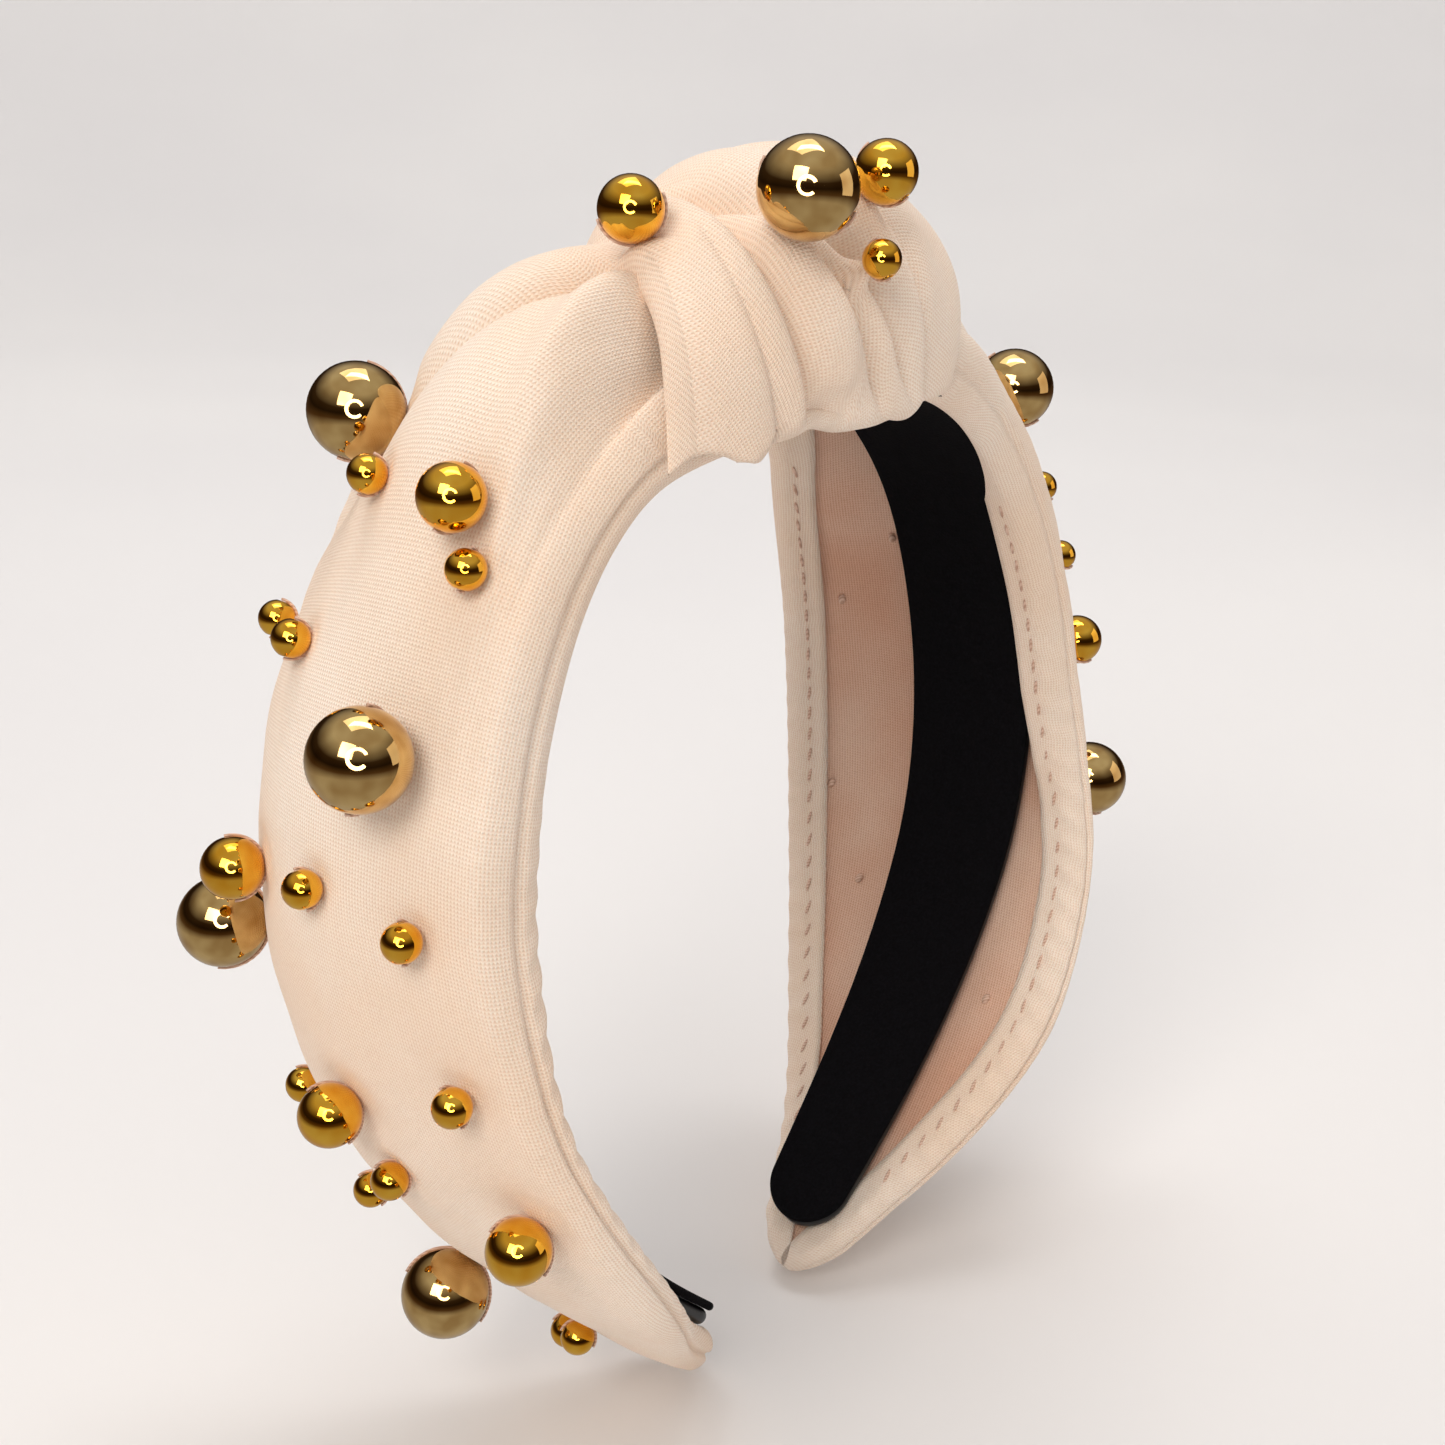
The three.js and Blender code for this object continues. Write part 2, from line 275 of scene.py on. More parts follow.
def tube(rows: Array, uv: Array | None = None) -> tuple[Array, Array, Array | None]:
    """A closed tube from rows of ring points, each end closed by a ring drawn in to its middle.

    Args:
        rows: rings of points, rows by columns by 3.
        uv: cloth coordinates of the rings.

    Returns:
        Points, faces and cloth coordinates.
    """
    first, last = rows[:1].mean(axis=1, keepdims=True), rows[-1:].mean(axis=1, keepdims=True)
    pole = np.ones((1, rows.shape[1], 1))
    drawn_in = [end * 0.001 + middle * 0.999 * pole for end, middle in ((rows[:1], first), (rows[-1:], last))]
    full = np.concatenate([drawn_in[0], rows, drawn_in[1]])
    faces = quads(len(full), full.shape[1], closed=True)
    ends = np.arange(full.shape[1])
    offset = (len(full) - 1) * full.shape[1]
    half = full.shape[1] // 2
    lid = np.stack([ends[: half - 1], ends[1:half], ends[::-1][1:half], ends[::-1][: half - 1]], axis=-1)
    faces = np.concatenate([faces, lid, lid[:, ::-1] + offset])
    if uv is not None:
        uv = np.concatenate([uv[:1], uv, uv[-1:]]).reshape(-1, 2)
    return full.reshape(-1, 3), faces, uv


# ---------------------------------------------------------------- materials


def linear(colour: str) -> tuple[float, float, float, float]:
    """An sRGB hex colour such as #E9CDB9 as linear light, with full cover."""
    parts = [int(colour[i : i + 2], 16) / 255 for i in (1, 3, 5)]
    return (*(p / 12.92 if p <= 0.04045 else ((p + 0.055) / 1.055) ** 2.4 for p in parts), 1.0)


class Nodes:
    """A node tree, with one way to add a node together with its settings and links."""

    def __init__(self, tree: bpy.types.NodeTree) -> None:
        """Takes up a tree."""
        self.tree = tree

    def add(self, kind: str, settings: dict | None = None, inputs: dict | None = None) -> bpy.types.Node:
        """Adds a node.

        Args:
            kind: the node type without its ShaderNode start.
            settings: attributes to set on the node.
            inputs: values or sockets by input name or number; a socket is linked.

        Returns:
            The node.
        """
        node = self.tree.nodes.new(f"ShaderNode{kind}")
        for key, value in (settings or {}).items():
            setattr(node, key, value)
        self.feed(node, inputs or {})
        return node

    def feed(self, node: bpy.types.Node, inputs: dict) -> None:
        """Sets or links a node's inputs.

        Args:
            node: the node.
            inputs: values or sockets by input name or number; a socket is linked.
        """
        for key, value in inputs.items():
            if isinstance(value, bpy.types.NodeSocket):
                self.tree.links.new(value, node.inputs[key])
            else:
                node.inputs[key].default_value = value

    def ramp(self, value: bpy.types.NodeSocket, stops: tuple[tuple[float, str], ...]) -> bpy.types.NodeSocket:
        """A colour ramp's result.

        Args:
            value: what drives it.
            stops: places from 0 to 1 with their sRGB hex colours.

        Returns:
            The colour socket.
        """
        node = self.add("ValToRGB", None, {0: value})
        elements = node.color_ramp.elements
        for element, (place, colour) in zip(elements, stops):
            element.position, element.color = place, linear(colour)
        for place, colour in stops[2:]:
            elements.new(place).color = linear(colour)
        return node.outputs["Color"]


class Shader(Nodes):
    """A material's node tree, with its Principled shader."""

    def __init__(self, name: str) -> None:
        """Starts a material of that name."""
        self.material = bpy.data.materials.new(name)
        self.material.use_nodes = True
        super().__init__(self.material.node_tree)
        self.principled = self.tree.nodes["Principled BSDF"]


@dataclass(frozen=True)
class KnitJersey:
    """Blush polyester jersey, fine-gauge weft knit, brushed on its back.

    The eye gets thin columns of loops with pinkish painted shade between them, a soft edge glow from the
    fuzz, and slow cloudy changes of tone. Real columns are about 0.3 mm apart; they are drawn at 0.44 mm so
    that they show.
    """

    name: str = "blush_polyester_jersey_knitted"
    ridge: str = "#FFF2E4"
    # the groove colour is painted shade between the loop columns
    groove: str = "#EBCFB8"
    cloud: str = "#F9EADC"
    column: float = 0.44 * MM
    course: float = 0.38 * MM
    relief: float = 0.10 * MM

    def make(self) -> bpy.types.Material:
        """Builds the material: a cosine across the columns, and one along them bent into small Vs."""
        s = Shader(self.name)
        cloth = s.add("UVMap", {"uv_map": "cloth"}).outputs["UV"]
        split = s.add("SeparateXYZ", None, {0: cloth})
        across = s.add("Math", {"operation": "DIVIDE"}, {0: split.outputs["X"], 1: self.column}).outputs[0]
        along = s.add("Math", {"operation": "DIVIDE"}, {0: split.outputs["Y"], 1: self.course}).outputs[0]
        vee = s.add("Math", {"operation": "PINGPONG"}, {0: across, 1: 0.5}).outputs[0]
        bent = s.add("Math", {"operation": "MULTIPLY_ADD"}, {0: vee, 1: 1.1, 2: along}).outputs[0]
        waves = []
        for value in (across, bent):
            turn = s.add("Math", {"operation": "MULTIPLY"}, {0: value, 1: math.tau}).outputs[0]
            cosine = s.add("Math", {"operation": "COSINE"}, {0: turn}).outputs[0]
            halved = s.add("Math", {"operation": "MULTIPLY_ADD"}, {0: cosine, 1: 0.25, 2: 0.25})
            waves.append(halved.outputs[0])
        loops = s.add("Math", {"operation": "ADD"}, {0: waves[0], 1: waves[1]}).outputs[0]
        place = s.add("TexCoord").outputs["Object"]
        clouds = s.add("TexNoise", None, {"Vector": place, "Scale": 38.0, "Detail": 3.0}).outputs[0]
        fuzz = s.add("TexNoise", None, {"Vector": place, "Scale": 2600.0, "Detail": 2.0}).outputs[0]
        fuzzy = s.add("Math", {"operation": "MULTIPLY_ADD"}, {0: fuzz, 1: 0.5, 2: loops}).outputs[0]
        # The groove colour, darker where the bump sinks between the loop columns, is painted shade.
        tone = s.ramp(fuzzy, ((0.25, self.groove), (1.0, self.ridge)))
        patch = s.ramp(clouds, ((0.35, self.cloud), (0.65, "#FFFFFF")))
        blend = {"data_type": "RGBA", "blend_type": "MULTIPLY"}
        base = s.add("Mix", blend, {0: 0.55, 6: tone, 7: patch}).outputs[2]
        bump = s.add("Bump", None, {"Height": fuzzy, "Distance": self.relief, "Strength": 0.8})
        s.feed(s.principled, {
            "Base Color": base, "Normal": bump.outputs[0], "Roughness": 0.88, "Sheen Weight": 0.16,
            "Sheen Roughness": 0.45, "Sheen Tint": linear("#FBEFE6"), "Specular IOR Level": 0.25,
            "Subsurface Weight": 0.05, "Subsurface Radius": (0.0016, 0.0009, 0.0006), "Subsurface Scale": 1.0,
        })
        return s.material


@dataclass(frozen=True)
class RibbonVelvet:
    """Black polyester velvet ribbon, cut pile: almost no shine, with a faint cool glow at grazing angles."""

    name: str = "black_polyester_velvet_cut_pile"
    pile: str = "#060507"
    tip: str = "#0E0D11"

    def make(self) -> bpy.types.Material:
        """Builds the material: pile clumps about 0.4 mm wide from noise."""
        s = Shader(self.name)
        place = s.add("TexCoord").outputs["Object"]
        clumps = s.add("TexNoise", None, {"Vector": place, "Scale": 2500.0, "Detail": 3.0}).outputs[0]
        tone = s.ramp(clumps, ((0.35, self.pile), (0.75, self.tip)))
        bump = s.add("Bump", None, {"Height": clumps, "Distance": 0.12 * MM, "Strength": 0.7})
        s.feed(s.principled, {
            "Base Color": tone, "Normal": bump.outputs[0], "Roughness": 0.95, "Specular IOR Level": 0.08,
            "Sheen Weight": 0.10, "Sheen Roughness": 0.35, "Sheen Tint": linear("#5A5764"),
        })
        return s.material


@dataclass(frozen=True)
class MouldedPlastic:
    """Black ABS strip, injection moulded: satin, with a faint spark-eroded grain."""

    name: str = "black_abs_moulded_satin"
    colour: str = "#0D0D0F"

    def make(self) -> bpy.types.Material:
        """Builds the material: a fine grain in both gloss and relief."""
        s = Shader(self.name)
        place = s.add("TexCoord").outputs["Object"]
        grain = s.add("TexNoise", None, {"Vector": place, "Scale": 1800.0, "Detail": 2.0}).outputs[0]
        tone = s.ramp(grain, ((0.3, self.colour), (0.8, "#151517")))
        rough = s.add("MapRange", None, {0: grain, 3: 0.34, 4: 0.5}).outputs[0]
        bump = s.add("Bump", None, {"Height": grain, "Distance": 0.03 * MM, "Strength": 0.5})
        s.feed(s.principled, {"Base Color": tone, "Roughness": rough, "Normal": bump.outputs[0], "IOR": 1.53})
        return s.material


@dataclass(frozen=True)
class Plating:
    """Metal plated on an ABS bead in a vacuum, then lacquered: a mirror with faint orange peel."""

    name: str
    colour: str
    deep: str
    roughness: float

    def make(self) -> bpy.types.Material:
        """Builds the material: slow ripples in the lacquer, and slight unevenness of tone."""
        s = Shader(self.name)
        place = s.add("TexCoord").outputs["Object"]
        peel = s.add("TexNoise", None, {"Vector": place, "Scale": 420.0, "Detail": 1.0}).outputs[0]
        specks = s.add("TexNoise", None, {"Vector": place, "Scale": 1500.0, "Detail": 3.0}).outputs[0]
        tone = s.ramp(peel, ((0.3, self.deep), (0.7, self.colour)))
        least, most = self.roughness * 0.6, self.roughness * 1.5
        rough = s.add("MapRange", None, {0: specks, 3: least, 4: most}).outputs[0]
        bump = s.add("Bump", None, {"Height": peel, "Distance": 0.02 * MM, "Strength": 0.35})
        s.feed(s.principled, {
            "Base Color": tone, "Metallic": 1.0, "Roughness": rough, "Normal": bump.outputs[0],
        })
        return s.material


@dataclass(frozen=True)
class Foam:
    """Cream polyurethane foam, sliced thin: open cells about half a millimetre across."""

    name: str = "cream_polyurethane_foam_sliced"

    def make(self) -> bpy.types.Material:
        """Builds the material from cell walls, with painted shade darkening each cell's hollow."""
        s = Shader(self.name)
        place = s.add("TexCoord").outputs["Object"]
        cells = s.add("TexVoronoi", None, {"Vector": place, "Scale": 1900.0}).outputs["Distance"]
        # The darker colour in each cell's hollow, where the bump sinks, is painted shade.
        tone = s.ramp(cells, ((0.1, "#D9CBB6"), (0.6, "#F4ECDF")))
        bump = s.add("Bump", None, {"Height": cells, "Distance": 0.2 * MM, "Strength": 0.6})
        s.feed(s.principled, {"Base Color": tone, "Roughness": 0.95, "Normal": bump.outputs[0]})
        return s.material


@dataclass(frozen=True)
class Thread:
    """Blush polyester sewing thread, twisted: slanting plies with a slight gloss."""

    name: str = "blush_polyester_thread_twisted"
    colour: str = "#E4C3AF"

    def make(self) -> bpy.types.Material:
        """Builds the material: slanting bands, about 0.4 mm apart so that they show, with painted shade
        darkening the grooves between the plies.
        """
        s = Shader(self.name)
        place = s.add("TexCoord").outputs["Object"]
        slant = {"bands_direction": "DIAGONAL"}
        plies = s.add("TexWave", slant, {"Vector": place, "Scale": 900.0}).outputs[1]
        # The darker colour where the bump sinks between the plies is painted shade.
        tone = s.ramp(plies, ((0.2, "#C79F88"), (0.8, self.colour)))
        bump = s.add("Bump", None, {"Height": plies, "Distance": 0.05 * MM, "Strength": 0.6})
        s.feed(s.principled, {"Base Color": tone, "Roughness": 0.6, "Normal": bump.outputs[0]})
        return s.material


@dataclass(frozen=True)
class PaintedCard:
    """Matt emulsion on card, for the floor that the headband stands on."""

    name: str = "pale_emulsion_rolled"

    def make(self) -> bpy.types.Material:
        """Builds the material: a barely uneven pale warm white."""
        s = Shader(self.name)
        place = s.add("TexCoord").outputs["Object"]
        cloud = s.add("TexNoise", None, {"Vector": place, "Scale": 3.0, "Detail": 2.0}).outputs[0]
        tone = s.ramp(cloud, ((0.3, "#E6E4E4"), (0.7, "#EBE9E8")))
        s.feed(s.principled, {"Base Color": tone, "Roughness": 0.9, "Specular IOR Level": 0.2})
        return s.material


@dataclass
class Finishes:
    """Every material of the headband, each made once."""

    knit: bpy.types.Material
    backing: bpy.types.Material
    velvet: bpy.types.Material
    plastic: bpy.types.Material
    gold: bpy.types.Material
    champagne: bpy.types.Material
    foam: bpy.types.Material
    thread: bpy.types.Material

    @classmethod
    def make(cls) -> "Finishes":
        """Makes them all. The backing is the same jersey in darker, warmer colours, painted shade for the
        shaded inner side of the arms.
        """
        # The backing's darker, warmer colours are painted shade for the arms' shaded inner side.
        warm = KnitJersey("blush_polyester_jersey_backing_painted_shade", "#F1D2BD", "#D3A48A", "#E9C4AE")
        return cls(
            KnitJersey().make(), warm.make(), RibbonVelvet().make(), MouldedPlastic().make(),
            Plating("gold_vacuum_plated_abs", "#F2BC45", "#E5A32C", 0.055).make(),
            Plating("champagne_vacuum_plated_abs", "#DDBB7C", "#BF985C", 0.045).make(),
            Foam().make(), Thread().make(),
        )


class Part(Enum):
    """A finished piece's place in the record: its material slot."""

    KNIT = "knit_fabric"
    BACKING = "knit_backing"
    FOAM = "foam_padding"
    VELVET = "velvet_ribbon"
    PLASTIC = "band_plastic"
    GOLD = "gold_plating"
    CHAMPAGNE = "champagne_plating"


def dress(piece: bpy.types.Object, material: bpy.types.Material, part: Part, *nodes: str) -> None:
    """Gives a piece its material, hides the CAD nodes that it stands for and says which they are.

    Args:
        piece: the finished piece.
        material: its material.
        part: its slot in the record; not used.
        nodes: the CAD nodes that it takes the place of, if any.
    """
    piece.data.materials.append(material)
    if nodes:
        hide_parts(*nodes)
    stands_for = ", ".join(nodes) or "nothing"
    log.info("%s: %d faces, stands for %s", piece.name, len(piece.data.polygons), stands_for)


# ---------------------------------------------------------------- the arch


@dataclass(frozen=True)
class Arch:
    """The line that the strip's inner face follows, from the crown to each tip."""

    half_length: float = 171 * MM
    bend_at_crown: float = math.radians(180)
    bend_lost_at_tip: float = math.radians(42)
    past_tip: float = 12 * MM
    samples: int = 2400

    def turn(self, reach: Array) -> Array:
        """The direction's turn: 180 degrees times t less 42 degrees times t to the fifth."""
        t = reach / self.half_length
        return self.bend_at_crown * t - self.bend_lost_at_tip * t**5

    @cached_property
    def line(self) -> tuple[Array, Array, Array]:
        """Distances and the arch's X and Z there, summed from the turn at the middle of each step."""
        edges = np.linspace(0, self.half_length + self.past_tip, self.samples + 1)
        step = edges[1]
        turn = self.turn((edges[1:] + edges[:-1]) / 2)
        x = np.concatenate([[0], np.cumsum(np.cos(turn)) * step])
        z = np.concatenate([[0], -np.cumsum(np.sin(turn)) * step])
        return edges, x, z

    def place(self, distance: Array, back: Array, height: Array) -> Array:
        """Points at a distance along the arch, a distance to the back, and a height off the inner face.

        The point on the line, plus the height times the outward direction (sine, 0, cosine of the turn).

        Args:
            distance: along the arch from the crown, negative on the left arm.
            back: to the back.
            height: off the inner face, away from the head.

        Returns:
            The points.
        """
        distance, back, height = np.broadcast_arrays(distance, back, height)
        side, reach = np.where(distance < 0, -1.0, 1.0), np.abs(distance)
        edges, x, z = self.line
        turn = self.turn(reach)
        across = side * (np.interp(reach, edges, x) + height * np.sin(turn))
        return np.stack([across, back, np.interp(reach, edges, z) + height * np.cos(turn)], axis=-1)


# ---------------------------------------------------------------- the beads


@dataclass
class Bead:
    """One sewn-on bead: a ball with a bore, where its CAD node is."""

    node: str
    sides: int = 44
    rings: int = 24
    bore: float = 0.7 * MM
    lip: float = 0.25 * MM
    thread: float = 0.17 * MM
    sinks_in: float = 0.07

    def __post_init__(self) -> None:
        """Reads the bead's middle from its CAD node's box, and its radius from the size in its name."""
        low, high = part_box(self.node)
        self.middle = np.array((low + high) / 2)
        self.radius = BEAD_RADII[self.node.rsplit("_", 1)[1]]
        self.normal = np.array([0.0, 0.0, 1.0])
        self.along = np.array([1.0, 0.0, 0.0])
        self.foot = (0.0, 0.0)

    def face(self, normal: Array, square_to: Array) -> None:
        """Turns the bead so that its bore lies in the cloth's surface, and sets it a little into the cloth.

        Args:
            normal: outward from the cloth.
            square_to: a direction that the bore lies square to, so that its mouths hide from there.
        """
        self.normal = unit(normal)
        self.middle = self.middle - self.normal * self.radius * self.sinks_in
        self.along = unit(np.cross(self.normal, square_to))

    def seat(self, cloth: Array) -> Array:
        """Lays a grid of cloth against the bead and pulls it in slightly round it.

        The nearest cloth point is brought to touch the ball, its neighbours follow by a Gaussian of their
        distance from the bead's foot, and a shallow ring round the foot is drawn in by the thread.

        Args:
            cloth: the grid, rows by columns by 3.

        Returns:
            The grid, laid against the bead.
        """
        foot = cloth[nearest(cloth, self.middle)]
        normal = unit(self.middle - foot)
        gap = np.linalg.norm(self.middle - foot) - self.radius + 0.15 * MM
        offset = cloth - foot
        spread = np.linalg.norm(offset - (offset @ normal)[..., None] * normal, axis=-1) / self.radius
        near = np.exp(-((offset @ normal) ** 2) / (2 * self.radius) ** 2)
        drawn_in = 0.3 * MM * np.exp(-(((spread - 0.95) / 0.4) ** 2))
        lift = gap * np.exp(-((spread / 0.85) ** 2)) - drawn_in
        return cloth + (lift * near)[..., None] * normal

    def ball(self) -> bpy.types.Object:
        """The ball: a half circle turned about the bore, with rounded lips running into the hole."""
        start = math.asin(self.bore / self.radius)
        turn = np.linspace(start, math.pi - start, self.rings)
        side, level = self.radius * np.sin(turn), -self.radius * np.cos(turn)
        curl = np.linspace(0, math.pi / 2, 4)[1:]
        mouth_side = self.bore - self.lip * np.sin(curl) * 0.8
        mouth_level = level[-1] - self.lip * (1 - np.cos(curl))
        side = np.concatenate([mouth_side[::-1], side, mouth_side])
        level = np.concatenate([-mouth_level[::-1], level, mouth_level])
        around = full_turn(self.sides)
        across = np.cross(self.along, self.normal)
        ring = np.cos(around)[:, None] * self.normal + np.sin(around)[:, None] * across
        rows = self.middle + level[:, None, None] * self.along + side[:, None, None] * ring[None]
        rows = np.concatenate([rows, rows[:1]])
        name = self.node.replace("bead_", "plated_bead_")
        return build(name, rows.reshape(-1, 3), quads(len(rows), self.sides, closed=True))

    def stitch(self) -> tuple[Array, Array]:
        """The thread that leaves both ends of the bore and runs down the ball to the cloth.

        A round tube along an arc just off the ball, in the plane of the bore and the normal.
        """
        arc = np.linspace(math.radians(-95), math.radians(95), 22)
        reach = self.radius + 0.12 * MM
        arc_line = np.sin(arc)[:, None] * self.along - np.cos(arc)[:, None] * self.normal
        centre = self.middle + reach * arc_line
        outward = unit(centre - self.middle)
        around = full_turn(8)[None, :, None]
        sideways = np.cross(self.along, self.normal)
        ring = np.cos(around) * outward[:, None] + np.sin(around) * sideways
        points, faces, _ = tube(centre[:, None] + self.thread * ring)
        return points, faces


def join(name: str, parts: list[tuple[Array, Array]]) -> bpy.types.Object:
    """One piece from several point and face arrays.

    Args:
        name: the piece's name.
        parts: each lump's points and faces.

    Returns:
        The new object.
    """
    starts = np.cumsum([0] + [len(p) for p, _ in parts[:-1]])
    points = np.concatenate([p for p, _ in parts])
    faces = np.concatenate([f + s for (_, f), s in zip(parts, starts)])
    return build(name, points, faces)


def pill(middle: Array, long_way: Array, up: Array, sizes: tuple[float, float, float]) -> tuple[Array, Array]:
    """A small rounded lump such as a stitch or a thread knot.

    Args:
        middle: its middle.
        long_way: the direction of its length.
        up: the direction that it stands off the cloth.
        sizes: half length, half width and half height.

    Returns:
        Its points and faces: an ellipsoid of 7 rings of 8.
    """
    side = np.cross(long_way, up)
    turn = np.linspace(0.12, math.pi - 0.12, 7)[:, None, None]
    around = full_turn(8)[None, :, None]
    rows = (
        middle - np.cos(turn) * long_way * sizes[0]
        + np.sin(turn) * (np.cos(around) * side * sizes[1] + np.sin(around) * up * sizes[2])
    )
    points, faces, _ = tube(rows)
    return points, faces


# ---------------------------------------------------------------- the strip


@dataclass
class Strip:
    """The springy plastic strip and the velvet ribbon on its inner face, each in two halves."""

    arch: Arch
    finishes: Finishes
    width_at_crown: float = 21.5 * MM
    width_at_tip: float = 12 * MM
    taper_power: float = 2.6
    nose: float = 6 * MM
    lining: tuple[float, float] = (0.0, 1.15 * MM)
    core: tuple[float, float] = (1.17 * MM, 3.45 * MM)
    core_inset: float = 0.4 * MM
    flex_start: float = 17 * MM
    flex_end: float = 40 * MM
    lean_back: tuple[float, float] = (9.5 * MM, 2.5 * MM)
    rows: int = 200

    def middle(self, side: Side, reach: Array) -> Array:
        """Where the strip's middle line lies: a little to the back below the knot, mostly on the left."""
        share = smooth(reach, 10 * MM, 40 * MM) * (1 - smooth(reach, 60 * MM, 112 * MM))
        return share * self.lean_back[0 if side is Side.LEFT else 1]

    def half_width(self, reach: Array) -> Array:
        """Half the strip's width: an even taper from the crown to the tip."""
        share = (reach / self.arch.half_length) ** self.taper_power
        return (self.width_at_crown + (self.width_at_tip - self.width_at_crown) * share) / 2

    def bar(self, side: Side, heights: tuple[float, float], inset: float) -> tuple[Array, Array, Array]:
        """A bar with rounded edges and a round nose, from the crown to the tip.

        Across it: a flat run, a half circle, a flat run back and a half circle. Along it the half width
        is the taper, and in the nose it is times the cosine of an angle that runs to a right angle.

        Args:
            side: the arm.
            heights: the inner and outer face, off the head.
            inset: how far its edge lies inside the strip's.

        Returns:
            Points, faces and cloth coordinates.
        """
        bend = self.arch.half_length - self.nose
        reach, shrink = rounded_end(0, bend, self.nose, (self.rows, 26), 0.985)
        run = np.linspace(-1, 1, 15)
        curl = np.linspace(0, math.pi, 10)[1:-1]
        flat = np.concatenate([run, np.ones(8), run[::-1], -np.ones(8)])
        out = np.concatenate([0 * run, np.sin(curl), 0 * run, -np.sin(curl)])
        lift = np.concatenate([1 + 0 * run, np.cos(curl), -1 + 0 * run, -np.cos(curl)])
        half = (heights[1] - heights[0]) / 2
        width = (self.half_width(reach) - inset) * shrink
        corner = np.minimum(half, width * 0.9)
        back = flat * (width - corner) + out * corner
        soft = 1 - (1 - shrink) * 0.5
        height = (heights[0] + half) + lift * half * soft
        back = back + self.middle(side, reach)
        rows = self.arch.place(side.value * reach, back, height)
        return tube(rows, np.stack(np.broadcast_arrays(back, reach), -1))

    def bend_over(self, piece: bpy.types.Object, side: Side) -> None:
        """Bakes the piece's placement into its mesh."""
        start, end = self.arch.place(side.value * np.array([self.flex_start, self.flex_end]), 0.0, 0.0)
        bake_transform(piece)

    def make(self, side: Side) -> None:
        """Makes one half of the ribbon and of the plastic strip."""
        cover = build(f"velvet_ribbon_{side.label}", *self.bar(side, self.lining, 0.0))
        dress(cover, self.finishes.velvet, Part.VELVET, f"ribbon_lining_{side.label}", "ribbon_lining_crown")
        reach = np.linspace(0, self.arch.half_length, 400)
        area = float(np.trapz(2 * self.half_width(reach), reach))
        self.bend_over(cover, side)
        core = build(f"moulded_strip_{side.label}", *self.bar(side, self.core, self.core_inset))
        dress(core, self.finishes.plastic, Part.PLASTIC, f"plastic_core_{side.label}", "plastic_core_crown")
        self.bend_over(core, side)


# ---------------------------------------------------------------- the wings


@dataclass(frozen=True)
class Fold:
    """A crease in a gathered root: where it starts beside the strip's middle, its slant, depth and width."""

    start: float
    slant: float
    depth: float
    width: float
    reach: float

    def drop(self, past_knot: Array, back: Array) -> Array:
        """How far the cloth sinks: the depth times exp(-|distance off the crease| / width).

        It fades out with the distance from the knot. A negative depth is a rounded roll, whose exponent is
        the square instead.

        Args:
            past_knot: distance past the knot's edge.
            back: place to the back.

        Returns:
            The depths, negative where the cloth rises.
        """
        off = np.abs(back - self.start * MM - self.slant * past_knot)
        off = off / (self.width * MM + 0.05 * np.abs(past_knot))
        fade = np.exp(-((past_knot / (self.reach * MM)) ** 2))
        return self.depth * MM * fade * np.exp(-(off if self.depth > 0 else off**2))


